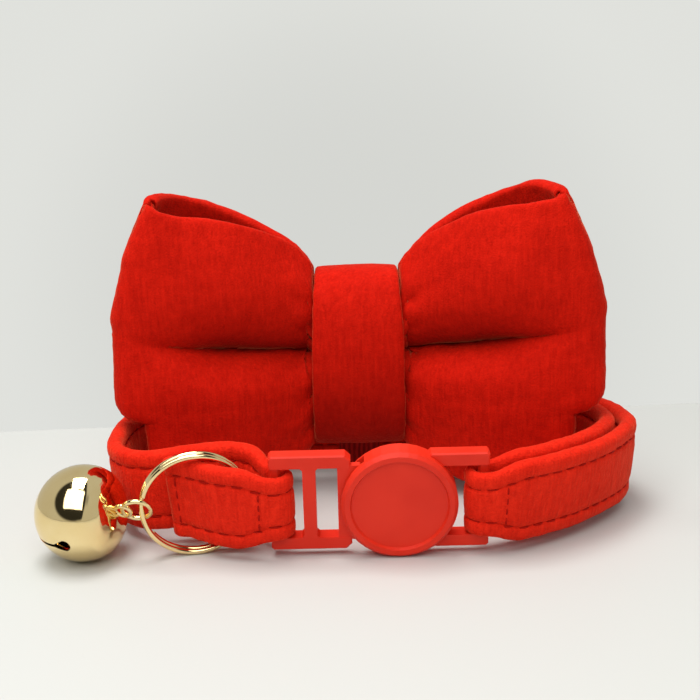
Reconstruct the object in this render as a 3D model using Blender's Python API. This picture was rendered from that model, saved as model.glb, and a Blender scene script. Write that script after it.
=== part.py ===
# Pet bow tie collar standing on its edge: a velvet covered strap closed by a plastic
# breakaway buckle, a split ring with a jingle bell, and a velvet bow at the back of the loop.
# Lengths are in metres. X runs along the front of the collar, -Y is the buckle side, Z is up.
import math

import bmesh
import bpy
import numpy as np
from mathutils import Matrix, Vector

MM = 0.001
FIT_GAP = 0.3 * MM
WELD_DISTANCE = 0.002 * MM
SHORT_EDGE = 0.001 * MM

# strap
STRAP_WIDTH = 11.0 * MM
STRAP_THICKNESS = 2.2 * MM
STRAP_FOLD_THICKNESS = 1.5 * MM
STRAP_FOLD_WIDTH = 8.6 * MM
STRAP_EDGE_RADIUS = 0.75 * MM
STRAP_EASE_LENGTH = 5.0 * MM
STRAP_END_ROUNDING = 1.0 * MM
STRAP_DROP = 0.3 * MM
STRAP_STEP = 2.9 * MM
FRONT_LEAN = math.radians(9.0)
SIDE_LEAN = math.radians(5.0)
BACK_LEAN = math.radians(2.0)

# plan of the loop, measured to the outer face of the strap
LOOP_WIDTH = 70.8 * MM
LOOP_CENTRE_X = 1.5 * MM
LOOP_WIDEST_Y = 20.0 * MM
LOOP_STRAIGHT_HALF = 14.8 * MM
LEFT_ROUTE = (
    (-12.0, 5.2),
    (-12.8, 6.6),
    (-14.1, 8.1),
    (-16.2, 9.1),
    (-19.5, 9.3),
    (-23.0, 8.9),
    (-26.5, 8.7),
    (-29.3, 9.8),
    (-31.4, 12.2),
    (-32.5, 15.2),
)
RIGHT_CORNER_POWER = 1.45
LEAN_CORNER_POWER = 2.2
BACK_POWER = 2.8
PLAN_SAMPLES = 240
CURVE_STEPS = 8

# layers of strap at the buckle ends
BAR_LINE_Y = 3.2 * MM
TAB_ROUTE = (
    (-13.0, 1.5),
    (-15.0, 1.9),
    (-17.0, 2.4),
    (-18.6, 3.05),
    (-20.3, 4.15),
    (-22.0, 5.3),
    (-23.4, 6.05),
    (-24.7, 6.2),
)
TAB_STEP = 0.9 * MM
INNER_LAYER_LIFT = 2.8 * MM
INNER_EASE_LENGTH = 9.0 * MM
INNER_END_X = 10.0 * MM

# buckle
FRAME_HEIGHT = 12.9 * MM
FRAME_THICKNESS = 2.0 * MM
FRAME_EDGE = 0.3 * MM
SLOT_HEIGHT = 9.6 * MM
BAR_WIDTH = 1.4 * MM
BAR_THICKNESS = 1.3 * MM
PLUG_BAR_X = -11.1 * MM
SOCKET_BAR_X = 14.4 * MM
MIDDLE_BAR_LEFT = -7.72 * MM
MIDDLE_BAR_WIDTH = 1.6 * MM
DISC_CENTRE_X = 4.1 * MM
DISC_DIAMETER = 14.4 * MM
DISC_FRONT = 0.9 * MM
DISC_BACK = 4.3 * MM
DISC_BEVEL = 0.45 * MM
DISC_SEGMENTS = 40
RECESS_DIAMETER = 12.2 * MM
RECESS_DEPTH = 0.4 * MM
RAIL_END_CHAMFER = 0.7 * MM
PLUG_RAIL_END = -1.8 * MM
PLUG_SLOT_END = -3.45 * MM
TONGUE_FRONT = 2.25 * MM
TONGUE_BACK = 3.2 * MM
TONGUE_REACH = 3.6 * MM
TONGUE_HEIGHT = 9.6 * MM
POCKET_HALF_HEIGHT = 5.8 * MM

# split ring, jump ring and bell
RING_DIAMETER = 14.0 * MM
RING_WIRE = 0.70 * MM
RING_COIL_PITCH = 0.78 * MM
RING_STEP_ANGLE = math.radians(50.0)
RING_END_ANGLE = math.radians(215.0)
RING_SEGMENTS = 44
WIRE_SIDES = 6
RING_CENTRE = (-21.2 * MM, 4.2 * MM)
RING_YAW = math.radians(12.0)
RING_SAG = 0.14 * MM
JUMP_DIAMETER = 4.1 * MM
JUMP_WIRE = 0.62 * MM
JUMP_TILT = math.radians(35.0)
JUMP_HANG_SHARE = 0.36
JUMP_SEGMENTS = 16
BELL_DIAMETER = 12.1 * MM
BELL_WALL = 0.5 * MM
BELL_SEGMENTS = 28
BELL_AXIS = (0.93, -0.3, 0.135)
BELL_SLIT_WIDTH = 0.7 * MM
BELL_HOLE_DIAMETER = 2.5 * MM
BELL_HOLE_ANGLE = math.radians(86.0)
BELL_SLIT_TOWARD = (-0.24, -0.90, -0.37)
BELL_CUT_REACH = 1.2 * BELL_DIAMETER / 2.0
BAIL_DIAMETER = 2.5 * MM
BAIL_WIRE = 0.6 * MM
BAIL_REACH = 6.8 * MM
PELLET_DIAMETER = 3.0 * MM

# bow
BOW_CENTRE_X = -0.45 * MM
BOW_CENTRE_Y = 30.3 * MM
BOW_WALL = 2.0 * MM
BOW_HALF_WIDTH = 33.2 * MM
BOW_TIP_FORWARD = 9.3 * MM
BOW_SWEEP_POWER = 1.35
BOW_TIP_DEPTH = 5.0 * MM
BOW_WAIST_DEPTH = 2.35 * MM
BOW_FULLEST = 0.52
BOW_ROWS = 13
BOW_CAP = 0.6 * MM
BOW_SHARES = (
    0.06, 0.19, 0.208, 0.222, 0.26, 0.35, 0.45, 0.56, 0.65, 0.74, 0.82, 0.89, 0.94, 0.975, 0.994,
)
BOW_HEIGHT = 44.2 * MM
BOW_WAIST_HEIGHT = 15.4 * MM
BOW_WAIST_Z = 19.6 * MM
BOW_FRONT_DROP = 2.4 * MM
BOW_PLEAT_DEPTH = 3.6 * MM
BOW_BACK_PLEAT_SHARE = 0.55
BOW_PLEAT_REACH = 0.93
BOW_VALLEY_WIDTH = 0.13
BOW_EDGE_ROLL = 0.30
BOW_DEEPEST_PLEAT = 0.62
SURFACE_STEP = 0.004

# knot and elastic
KNOT_HEIGHT = 25.8 * MM
KNOT_DEPTH = 12.6 * MM
KNOT_WIDTH = 12.9 * MM
KNOT_TOP_SHARE = 0.9
KNOT_WALL = 2.0 * MM
KNOT_STATIONS = 32
ELASTIC_WIDTH = 6.0 * MM
ELASTIC_WALL = 0.8 * MM
ELASTIC_STATIONS = 24


# outline of a band across its width: place across, and share of half its wall
BAND_FACE = ((-1.0, 0.45), (-0.92, 0.9), (-0.5, 1.0), (0.5, 1.0), (0.92, 0.9), (1.0, 0.45))
BAND_BACK = ((1.0, -0.45), (0.92, -0.9), (0.0, -1.0), (-0.92, -0.9), (-1.0, -0.45))


def clear_scene():
    for item in list(bpy.data.objects):
        bpy.data.objects.remove(item, do_unlink=True)


def principled(name, colour, roughness, metallic):
    material = bpy.data.materials.new(name)
    material.use_nodes = True
    shader = material.node_tree.nodes["Principled BSDF"]
    shader.inputs["Base Color"].default_value = (*colour, 1.0)
    shader.inputs["Roughness"].default_value = roughness
    shader.inputs["Metallic"].default_value = metallic
    return material


def mesh_object(name, vertices, faces, material, smooth_angle):
    mesh = bpy.data.meshes.new(name)
    mesh.from_pydata([tuple(v) for v in vertices], [], faces)
    mesh.update()
    item = bpy.data.objects.new(name, mesh)
    bpy.context.collection.objects.link(item)
    work = bmesh.new()
    work.from_mesh(mesh)
    bmesh.ops.recalc_face_normals(work, faces=work.faces)
    if work.calc_volume(signed=True) < 0.0:
        bmesh.ops.reverse_faces(work, faces=work.faces)
    work.to_mesh(mesh)
    work.free()
    mesh.materials.append(material)
    for polygon in mesh.polygons:
        polygon.use_smooth = True
    mesh.set_sharp_from_angle(angle=smooth_angle)
    return item


def smoothstep(value, low, high):
    share = min(max((value - low) / (high - low), 0.0), 1.0)
    return share * share * (3.0 - 2.0 * share)


def interpolate(share, table):
    places = [row[0] for row in table]
    values = [row[1] for row in table]
    return float(np.interp(share, places, values))


def power_arc(start_angle, end_angle, power, count):
    angles = np.linspace(start_angle, end_angle, count)
    cosine = np.cos(angles)
    sine = np.sin(angles)
    across = np.sign(cosine) * np.abs(cosine) ** (2.0 / power)
    along = np.sign(sine) * np.abs(sine) ** (2.0 / power)
    return across, along


def join_paths(*paths):
    rows = []
    for path in paths:
        for point in path:
            if not rows or math.dist(rows[-1], point) > 0.01 * MM:
                rows.append((float(point[0]), float(point[1])))
    return np.array(rows)


def resample(path, step):
    lengths = np.concatenate([[0.0], np.cumsum(np.linalg.norm(np.diff(path, axis=0), axis=1))])
    count = max(int(round(lengths[-1] / step)), 2)
    places = np.linspace(0.0, lengths[-1], count + 1)
    return np.column_stack([np.interp(places, lengths, path[:, k]) for k in range(2)])


def tangents(path, closed):
    if closed:
        step = np.roll(path, -1, axis=0) - np.roll(path, 1, axis=0)
    else:
        step = np.gradient(path, axis=0)
    return step / np.linalg.norm(step, axis=1)[:, None]


def right_hand(directions):
    return np.column_stack([directions[:, 1], -directions[:, 0]])


def front_corner(side, half_width, front_y, power):
    """Front corner of the loop, from the straight front to the widest place."""
    across, along = power_arc(math.pi / 2.0, 0.0, power, PLAN_SAMPLES // 4)
    inner = LOOP_STRAIGHT_HALF
    reach = half_width + side * LOOP_CENTRE_X - inner
    x = side * (inner + reach * across)
    y = LOOP_WIDEST_Y - (LOOP_WIDEST_Y - front_y) * along
    return np.column_stack([x, y])


def curve_through(points):
    """A smooth curve through the points, with even steps between each two of them."""
    rows = np.array([points[0], *points, points[-1]])
    curve = [rows[1]]
    for i in range(1, len(rows) - 2):
        before, start, end, after = rows[i - 1 : i + 3]
        for share in np.linspace(0.0, 1.0, CURVE_STEPS + 1)[1:]:
            slope = (end - before) * share
            bend = (2.0 * before - 5.0 * start + 4.0 * end - after) * share ** 2
            twist = (3.0 * (start - end) + after - before) * share ** 3
            curve.append(start + (slope + bend + twist) / 2.0)
    return np.array(curve)


def back_arc(half_width, back_y):
    """Back of the loop, from the widest place on the left round to the right."""
    across, along = power_arc(math.pi, 0.0, BACK_POWER, PLAN_SAMPLES)
    x = LOOP_CENTRE_X + half_width * across
    y = LOOP_WIDEST_Y + (back_y - LOOP_WIDEST_Y) * along
    return np.column_stack([x, y])


def knot_back_y():
    return BOW_CENTRE_Y + KNOT_DEPTH / 2.0


def strap_back_line_y():
    return knot_back_y() + 2.0 * FIT_GAP + ELASTIC_WALL + STRAP_THICKNESS / 2.0


def fold_radius():
    return BAR_THICKNESS / 2.0 + FIT_GAP + STRAP_FOLD_THICKNESS / 2.0


def main_line():
    """Centre line of the single strap, from the left bar round the back to the right bar."""
    half_width = LOOP_WIDTH / 2.0 - STRAP_THICKNESS / 2.0
    left_y = BAR_LINE_Y + fold_radius()
    right_y = BAR_LINE_Y - fold_radius()
    right = front_corner(1.0, half_width, right_y, RIGHT_CORNER_POWER)[::-1]
    back = back_arc(half_width, strap_back_line_y())
    route = [(x * MM, y * MM) for x, y in LEFT_ROUTE]
    left = curve_through([(PLUG_BAR_X, left_y), *route, tuple(back[0])])
    end = [(SOCKET_BAR_X, right_y)]
    return join_paths(left, back, right, end)


def offset_line(path, places, distances):
    """Points beside a path at given lengths along it, positive to its right hand."""
    lengths = np.concatenate([[0.0], np.cumsum(np.linalg.norm(np.diff(path, axis=0), axis=1))])
    x = np.interp(places, lengths, path[:, 0])
    y = np.interp(places, lengths, path[:, 1])
    directions = tangents(path, False)
    tx = np.interp(places, lengths, directions[:, 0])
    ty = np.interp(places, lengths, directions[:, 1])
    size = np.hypot(tx, ty)
    return np.column_stack([x + ty / size * distances, y - tx / size * distances])


def fold_arc(centre_x, side):
    angles = np.linspace(-math.pi / 2.0, math.pi / 2.0, 9)
    x = centre_x + side * fold_radius() * np.cos(angles)
    y = BAR_LINE_Y + fold_radius() * np.sin(angles)
    return np.column_stack([x, y])


def tab_line():
    """The strap end that is turned over the front, through the split ring, and sewn down."""
    route = [(x * MM, y * MM) for x, y in TAB_ROUTE]
    curve = curve_through([(PLUG_BAR_X, BAR_LINE_Y - fold_radius()), *route])
    return resample(curve[::-1], TAB_STEP)


def inner_line(main):
    """The layer that runs back inside the right half of the loop."""
    reverse = main[::-1]
    lengths = np.concatenate([[0.0], np.cumsum(np.linalg.norm(np.diff(reverse, axis=0), axis=1))])
    past_widest = reverse[:, 1] > LOOP_WIDEST_Y + STRAP_WIDTH
    ended = np.where(past_widest & (reverse[:, 0] < INNER_END_X))[0][0]
    places = np.arange(0.0, lengths[ended], STRAP_STEP)
    lifts = []
    for place in places:
        ease = smoothstep(place, 0.0, INNER_EASE_LENGTH)
        lifts.append(2.0 * fold_radius() * (1.0 - ease) + INNER_LAYER_LIFT * ease)
    return offset_line(reverse, places, -np.array(lifts))


def lean_reference():
    """The line that the strap and the buckle lean about, as points, normals and angles."""
    half_width = LOOP_WIDTH / 2.0 - STRAP_THICKNESS
    left = front_corner(-1.0, half_width, BAR_LINE_Y, LEAN_CORNER_POWER)
    right = front_corner(1.0, half_width, BAR_LINE_Y, RIGHT_CORNER_POWER)[::-1]
    back = back_arc(half_width, strap_back_line_y() - STRAP_THICKNESS / 2.0)
    front = [(x, BAR_LINE_Y) for x in np.linspace(LOOP_STRAIGHT_HALF, -LOOP_STRAIGHT_HALF, 30)]
    line = join_paths(left, back, right, front)[:-1]
    outward = -right_hand(tangents(line, True))
    angles = []
    for point in line:
        if point[1] < LOOP_WIDEST_Y:
            ease = smoothstep(point[1], BAR_LINE_Y + 4.0 * MM, LOOP_WIDEST_Y)
            angles.append(FRONT_LEAN * (1.0 - ease) + SIDE_LEAN * ease)
        else:
            ease = smoothstep(point[1], LOOP_WIDEST_Y, strap_back_line_y())
            angles.append(SIDE_LEAN * (1.0 - ease) + BACK_LEAN * ease)
    return line, outward, np.array(angles)


def buckle_centre_z():
    drop = DISC_DIAMETER / 2.0 * math.cos(FRONT_LEAN)
    return drop + (BAR_LINE_Y - DISC_FRONT) * math.sin(FRONT_LEAN)


def strap_section(width, thickness):
    """Rounded outline of the strap as pairs of across and height."""
    radius = min(STRAP_EDGE_RADIUS, 0.45 * thickness)
    rows = []
    corners = ((1.0, 1.0, 0.0), (-1.0, 1.0, 90.0), (-1.0, -1.0, 180.0), (1.0, -1.0, 270.0))
    for side, up, start in corners:
        for turn in (0.0, 45.0, 90.0):
            angle = math.radians(start + turn)
            across = side * (thickness / 2.0 - radius) + radius * math.cos(angle)
            height = up * (width / 2.0 - radius) + radius * math.sin(angle)
            rows.append((across, height))
    return rows


def skin(rings, closed):
    """Faces between rings of equal length, with end faces where the run is open."""
    count = len(rings[0])
    vertices = [point for ring in rings for point in ring]
    faces = []
    runs = len(rings) if closed else len(rings) - 1
    for i in range(runs):
        a = i * count
        b = ((i + 1) % len(rings)) * count
        for k in range(count):
            n = (k + 1) % count
            faces.append((a + k, a + n, b + n, b + k))
    if not closed:
        faces.append(tuple(reversed(range(count))))
        faces.append(tuple(range((len(rings) - 1) * count, len(rings) * count)))
    return vertices, faces


def make_strap(material):
    main = main_line()
    left_fold = fold_arc(PLUG_BAR_X, 1.0)
    right_fold = fold_arc(SOCKET_BAR_X, -1.0)
    body = resample(main, STRAP_STEP)
    tab = tab_line()
    inner = inner_line(main)
    path = join_paths(tab, left_fold, body, right_fold, inner)
    lengths = np.concatenate([[0.0], np.cumsum(np.linalg.norm(np.diff(path, axis=0), axis=1))])
    fold_places = []
    for arc in (left_fold, right_fold):
        middle = arc[len(arc) // 2]
        fold_places.append(lengths[np.argmin(np.linalg.norm(path - middle, axis=1))])
    line, outward, angles = lean_reference()
    sides = right_hand(tangents(path, False))
    height = buckle_centre_z() - STRAP_DROP
    flat = fold_radius() * math.pi / 2.0
    rings = []
    for i, point in enumerate(path):
        near = min(abs(lengths[i] - place) for place in fold_places)
        ease = smoothstep(near, flat, flat + STRAP_EASE_LENGTH)
        thickness = STRAP_FOLD_THICKNESS + (STRAP_THICKNESS - STRAP_FOLD_THICKNESS) * ease
        width = STRAP_FOLD_WIDTH + (STRAP_WIDTH - STRAP_FOLD_WIDTH) * ease
        to_end = min(lengths[i], lengths[-1] - lengths[i])
        if to_end < STRAP_END_ROUNDING:
            share = 1.0 - to_end / STRAP_END_ROUNDING
            width -= 2.0 * STRAP_END_ROUNDING * (1.0 - math.sqrt(1.0 - 0.75 * share * share))
        nearest = int(np.argmin(np.linalg.norm(line - point, axis=1)))
        origin = line[nearest]
        out = outward[nearest]
        along = np.array([-out[1], out[0]])
        sine = math.sin(angles[nearest])
        cosine = math.cos(angles[nearest])
        ring = []
        for across, up in strap_section(width, thickness):
            place = point + sides[i] * across - origin
            distance = float(place @ out)
            plan = origin + along * float(place @ along) + out * (distance * cosine + up * sine)
            ring.append((plan[0], plan[1], height + up * cosine - distance * sine))
        rings.append(ring)
    vertices, faces = skin(rings, False)
    return mesh_object("strap", vertices, faces, material, math.radians(50.0))


def box_solid(work, low, high):
    corners = []
    for x in (low[0], high[0]):
        for y in (low[1], high[1]):
            for z in (low[2], high[2]):
                corners.append(work.verts.new((x, y, z)))
    order = ((0, 1, 3, 2), (4, 6, 7, 5), (0, 4, 5, 1), (2, 3, 7, 6), (0, 2, 6, 4), (1, 5, 7, 3))
    for ids in order:
        work.faces.new([corners[i] for i in ids])


def temporary(name, build):
    mesh = bpy.data.meshes.new(name)
    work = bmesh.new()
    build(work)
    bmesh.ops.recalc_face_normals(work, faces=work.faces)
    work.to_mesh(mesh)
    work.free()
    item = bpy.data.objects.new(name, mesh)
    bpy.context.collection.objects.link(item)
    item.hide_render = True
    item.display_type = "WIRE"
    return item


def combine(item, other, operation):
    modifier = item.modifiers.new(operation.lower(), "BOOLEAN")
    modifier.operation = operation
    modifier.solver = "EXACT"
    modifier.object = other
    graph = bpy.context.evaluated_depsgraph_get()
    result = bpy.data.meshes.new_from_object(item.evaluated_get(graph))
    item.modifiers.clear()
    item.data = result
    bpy.data.objects.remove(other, do_unlink=True)


def plate(work, outline, low_y, high_y):
    """A flat plate whose outline is given as X and Z pairs."""
    front = [work.verts.new((x, low_y, z)) for x, z in outline]
    back = [work.verts.new((x, high_y, z)) for x, z in outline]
    work.faces.new(front)
    work.faces.new(list(reversed(back)))
    for i in range(len(outline)):
        n = (i + 1) % len(outline)
        work.faces.new((front[n], front[i], back[i], back[n]))


def chamfered_rectangle(left, right, half_height, left_cut, right_cut):
    return (
        (left, -half_height + left_cut),
        (left, half_height - left_cut),
        (left + left_cut, half_height),
        (right - right_cut, half_height),
        (right, half_height - right_cut),
        (right, -half_height + right_cut),
        (right - right_cut, -half_height),
        (left + left_cut, -half_height),
    )


def rounded_window(left, right, half_height, cut):
    return chamfered_rectangle(left, right, half_height, cut, cut)


def soften_edges(item, width):
    modifier = item.modifiers.new("edges", "BEVEL")
    modifier.width = width
    modifier.segments = 1
    modifier.limit_method = "ANGLE"
    modifier.angle_limit = math.radians(50.0)
    modifier.use_clamp_overlap = True
    graph = bpy.context.evaluated_depsgraph_get()
    item.data = bpy.data.meshes.new_from_object(item.evaluated_get(graph))
    item.modifiers.clear()


def finish_solid(item, name, material, smooth_angle):
    item.name = name
    item.data.name = name
    item.hide_render = False
    item.display_type = "TEXTURED"
    work = bmesh.new()
    work.from_mesh(item.data)
    bmesh.ops.remove_doubles(work, verts=work.verts, dist=WELD_DISTANCE)
    bmesh.ops.dissolve_degenerate(work, edges=work.edges, dist=SHORT_EDGE)
    bmesh.ops.triangulate(work, faces=work.faces)
    bmesh.ops.recalc_face_normals(work, faces=work.faces)
    work.to_mesh(item.data)
    work.free()
    item.data.materials.clear()
    item.data.materials.append(material)
    for polygon in item.data.polygons:
        polygon.use_smooth = True
    item.data.set_sharp_from_angle(angle=smooth_angle)
    return item


def frame_levels():
    return BAR_LINE_Y - FRAME_THICKNESS / 2.0, BAR_LINE_Y + FRAME_THICKNESS / 2.0


def cut_window(item, outline):
    front, back = frame_levels()
    cutter = temporary("window", lambda work: plate(work, outline, front - BAR_WIDTH, back + BAR_WIDTH))
    combine(item, cutter, "DIFFERENCE")


def bar_solid(work, left, right):
    """The slim upright bar that the strap is folded round, let into both rails."""
    middle = (left + right) / 2.0
    outline = chamfered_rectangle(left - middle, right - middle, BAR_THICKNESS / 2.0, FRAME_EDGE, FRAME_EDGE)
    top = SLOT_HEIGHT / 2.0 + FRAME_EDGE
    plate(work, outline, -top, top)
    bmesh.ops.rotate(work, verts=work.verts, matrix=Matrix.Rotation(math.pi / 2.0, 3, "X"))
    bmesh.ops.translate(work, verts=work.verts, vec=(middle, BAR_LINE_Y, 0.0))


def revolve_disc(work):
    radius = DISC_DIAMETER / 2.0
    rim = RECESS_DIAMETER / 2.0
    floor_y = DISC_FRONT + RECESS_DEPTH
    profile = (
        (rim - 0.5 * RECESS_DEPTH, floor_y),
        (rim, DISC_FRONT),
        (radius - DISC_BEVEL, DISC_FRONT),
        (radius, DISC_FRONT + DISC_BEVEL),
        (radius, DISC_BACK - DISC_BEVEL),
        (radius - DISC_BEVEL, DISC_BACK),
    )
    rings = []
    for r, y in profile:
        ring = []
        for k in range(DISC_SEGMENTS):
            angle = 2.0 * math.pi * k / DISC_SEGMENTS
            ring.append(work.verts.new((DISC_CENTRE_X + r * math.cos(angle), y, r * math.sin(angle))))
        rings.append(ring)
    for a, b in zip(rings[:-1], rings[1:]):
        for k in range(DISC_SEGMENTS):
            n = (k + 1) % DISC_SEGMENTS
            work.faces.new((a[k], a[n], b[n], b[k]))
    work.faces.new(rings[0])
    work.faces.new(list(reversed(rings[-1])))


def place_buckle(item):
    turn = Matrix.Rotation(FRONT_LEAN, 4, "X")
    pivot = Vector((0.0, BAR_LINE_Y, 0.0))
    item.data.transform(Matrix.Translation(-pivot))
    item.data.transform(turn)
    item.location = (0.0, BAR_LINE_Y, buckle_centre_z())
    return item


def make_plug(material):
    front, back = frame_levels()
    bar_right = PLUG_BAR_X + BAR_THICKNESS / 2.0
    left = bar_right - BAR_WIDTH
    middle_right = MIDDLE_BAR_LEFT + MIDDLE_BAR_WIDTH
    half = FRAME_HEIGHT / 2.0
    outline = chamfered_rectangle(left, PLUG_RAIL_END, half, FRAME_EDGE, RAIL_END_CHAMFER)
    item = temporary("plug", lambda work: plate(work, outline, front, back))
    soften_edges(item, 0.6 * FRAME_EDGE)
    slot = SLOT_HEIGHT / 2.0
    strap_window = rounded_window(left - BAR_WIDTH, MIDDLE_BAR_LEFT, slot, FRAME_EDGE)
    free_window = rounded_window(middle_right, PLUG_RAIL_END + BAR_WIDTH, slot, FRAME_EDGE)
    for window in (strap_window, free_window):
        cut_window(item, window)
    combine(item, temporary("bar", lambda work: bar_solid(work, left, bar_right)), "UNION")
    root = rounded_window(PLUG_SLOT_END, PLUG_RAIL_END + BAR_WIDTH, slot + FRAME_EDGE, FRAME_EDGE)
    tongue = rounded_window(PLUG_SLOT_END, TONGUE_REACH, TONGUE_HEIGHT / 2.0, BAR_WIDTH)
    for shape in (root, tongue):
        blade = temporary("blade", lambda work: plate(work, shape, TONGUE_FRONT, TONGUE_BACK))
        combine(item, blade, "UNION")
    return place_buckle(finish_solid(item, "buckle_plug", material, math.radians(35.0)))


def make_socket(material):
    front, back = frame_levels()
    bar_left = SOCKET_BAR_X - BAR_THICKNESS / 2.0
    right = bar_left + BAR_WIDTH
    half = FRAME_HEIGHT / 2.0
    start = DISC_CENTRE_X + DISC_DIAMETER / 4.0
    outline = chamfered_rectangle(start, right, half, FRAME_EDGE, FRAME_EDGE)
    item = temporary("socket", lambda work: plate(work, outline, front, back))
    soften_edges(item, 0.6 * FRAME_EDGE)
    window = rounded_window(start + BAR_WIDTH, right + BAR_WIDTH, SLOT_HEIGHT / 2.0, FRAME_EDGE)
    cut_window(item, window)
    combine(item, temporary("bar", lambda work: bar_solid(work, bar_left, right)), "UNION")
    disc = temporary("disc", revolve_disc)
    low = (DISC_CENTRE_X - DISC_DIAMETER, TONGUE_FRONT - FIT_GAP, -POCKET_HALF_HEIGHT)
    high = (TONGUE_REACH + FIT_GAP, TONGUE_BACK + FIT_GAP, POCKET_HALF_HEIGHT)
    combine(disc, temporary("pocket", lambda work: box_solid(work, low, high)), "DIFFERENCE")
    combine(item, disc, "UNION")
    return place_buckle(finish_solid(item, "buckle_socket", material, math.radians(35.0)))


def wire_section(centre, along, across, up, wire, sides):
    """One polygon of wire round a centre, in the plane of across and up."""
    rows = []
    for k in range(sides):
        angle = 2.0 * math.pi * k / sides
        rows.append(centre + (across * math.cos(angle) + up * math.sin(angle)) * (wire / 2.0))
    return rows


def ring_frame():
    """Centre and axes of the split ring, which stands with the turned tab through it."""
    across = Vector((math.cos(RING_YAW), math.sin(RING_YAW), 0.0))
    upright = Vector((0.0, 0.0, 1.0))
    facing = across.cross(upright).normalized()
    up = (upright * math.cos(FRONT_LEAN) + facing * math.sin(FRONT_LEAN)).normalized()
    axis = across.cross(up).normalized()
    height = buckle_centre_z() - STRAP_DROP - RING_SAG
    centre = Vector((RING_CENTRE[0], RING_CENTRE[1], height))
    return centre, across, up, axis


def make_split_ring(material):
    centre, across, up, axis = ring_frame()
    radius = (RING_DIAMETER - RING_WIRE) / 2.0
    rings = []
    flat_turn = 2.0 * math.pi - RING_STEP_ANGLE
    whole = 2.0 * flat_turn + RING_STEP_ANGLE
    for i in range(RING_SEGMENTS + 1):
        turned = whole * i / RING_SEGMENTS
        angle = RING_END_ANGLE + turned
        outward = across * math.cos(angle) + up * math.sin(angle)
        along = up * math.cos(angle) - across * math.sin(angle)
        rise = RING_COIL_PITCH * (smoothstep(turned, flat_turn, flat_turn + RING_STEP_ANGLE) - 0.5)
        place = centre + outward * radius + axis * rise
        rings.append(wire_section(place, along, outward, axis, RING_WIRE, WIRE_SIDES))
    vertices, faces = skin(rings, False)
    return mesh_object("split_ring", vertices, faces, material, math.radians(60.0))


def link_point():
    """Middle of the split ring's wire where the jump ring holds it."""
    centre, across, up, axis = ring_frame()
    return centre - across * (RING_DIAMETER - RING_WIRE) / 2.0


def jump_centre():
    shift = JUMP_HANG_SHARE * (JUMP_DIAMETER / 2.0 - JUMP_WIRE)
    return link_point() + Vector((-shift, -0.5 * shift, -0.2 * shift))


def make_jump_ring(material):
    centre = jump_centre()
    along = Vector((1.0, 0.0, 0.0))
    depth = Vector((0.0, math.cos(JUMP_TILT), math.sin(JUMP_TILT)))
    normal = along.cross(depth).normalized()
    radius = (JUMP_DIAMETER - JUMP_WIRE) / 2.0
    rings = []
    for i in range(JUMP_SEGMENTS):
        angle = 2.0 * math.pi * i / JUMP_SEGMENTS
        outward = along * math.cos(angle) + depth * math.sin(angle)
        turn = depth * math.cos(angle) - along * math.sin(angle)
        rings.append(wire_section(centre + outward * radius, turn, outward, normal, JUMP_WIRE, WIRE_SIDES))
    vertices, faces = skin(rings, True)
    return mesh_object("jump_ring", vertices, faces, material, math.radians(60.0))


def bell_axes():
    axis = Vector(BELL_AXIS).normalized()
    lift = Vector((0.0, -math.sin(JUMP_TILT), math.cos(JUMP_TILT)))
    side = (lift - axis * lift.dot(axis)).normalized()
    return axis, side, axis.cross(side)


def bell_centre():
    axis = bell_axes()[0]
    held = jump_centre() - Vector(((JUMP_DIAMETER - JUMP_WIRE) / 2.0, 0.0, 0.0))
    centre = held - axis * (BAIL_REACH - BAIL_DIAMETER / 2.0)
    centre.z = BELL_DIAMETER / 2.0
    return centre


def bell_profile(radius):
    """Distance from the axis and place along it, from the slit pole to the loop's end."""
    rows = []
    for degrees in (-76.0, -62.0, -48.0, -34.0, -20.0, -6.0, 8.0, 22.0):
        angle = math.radians(degrees)
        rows.append((radius * math.cos(angle), radius * math.sin(angle)))
    for across, along in ((0.80, 0.56), (0.60, 0.69), (0.36, 0.77), (0.14, 0.81)):
        rows.append((radius * across, radius * along))
    return rows


def revolve_bell(work, radius):
    axis, side, other = bell_axes()
    rings = []
    for distance, along in bell_profile(radius):
        ring = []
        for k in range(BELL_SEGMENTS):
            angle = 2.0 * math.pi * k / BELL_SEGMENTS
            place = axis * along + (side * math.cos(angle) + other * math.sin(angle)) * distance
            ring.append(work.verts.new(place))
        rings.append(ring)
    for a, b in zip(rings[:-1], rings[1:]):
        for k in range(BELL_SEGMENTS):
            n = (k + 1) % BELL_SEGMENTS
            work.faces.new((a[k], a[n], b[n], b[k]))
    pole = work.verts.new(axis * (-radius))
    for k in range(BELL_SEGMENTS):
        work.faces.new((pole, rings[0][(k + 1) % BELL_SEGMENTS], rings[0][k]))
    work.faces.new(rings[-1])


def oriented_cutter(work, kind, direction, across, normal, sizes):
    turn = Matrix((across, direction, normal)).transposed().to_4x4()
    if kind == "slab":
        box_solid(work, (-sizes[0], 0.0, -sizes[2]), (sizes[0], sizes[1], sizes[2]))
    else:
        bmesh.ops.create_cone(
            work,
            cap_ends=True,
            segments=12,
            radius1=sizes[0],
            radius2=sizes[0],
            depth=sizes[1],
            matrix=Matrix.Translation((0.0, sizes[1] / 2.0, 0.0)) @ Matrix.Rotation(math.pi / 2.0, 4, "X"),
        )
    bmesh.ops.transform(work, matrix=turn, verts=work.verts)


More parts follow.
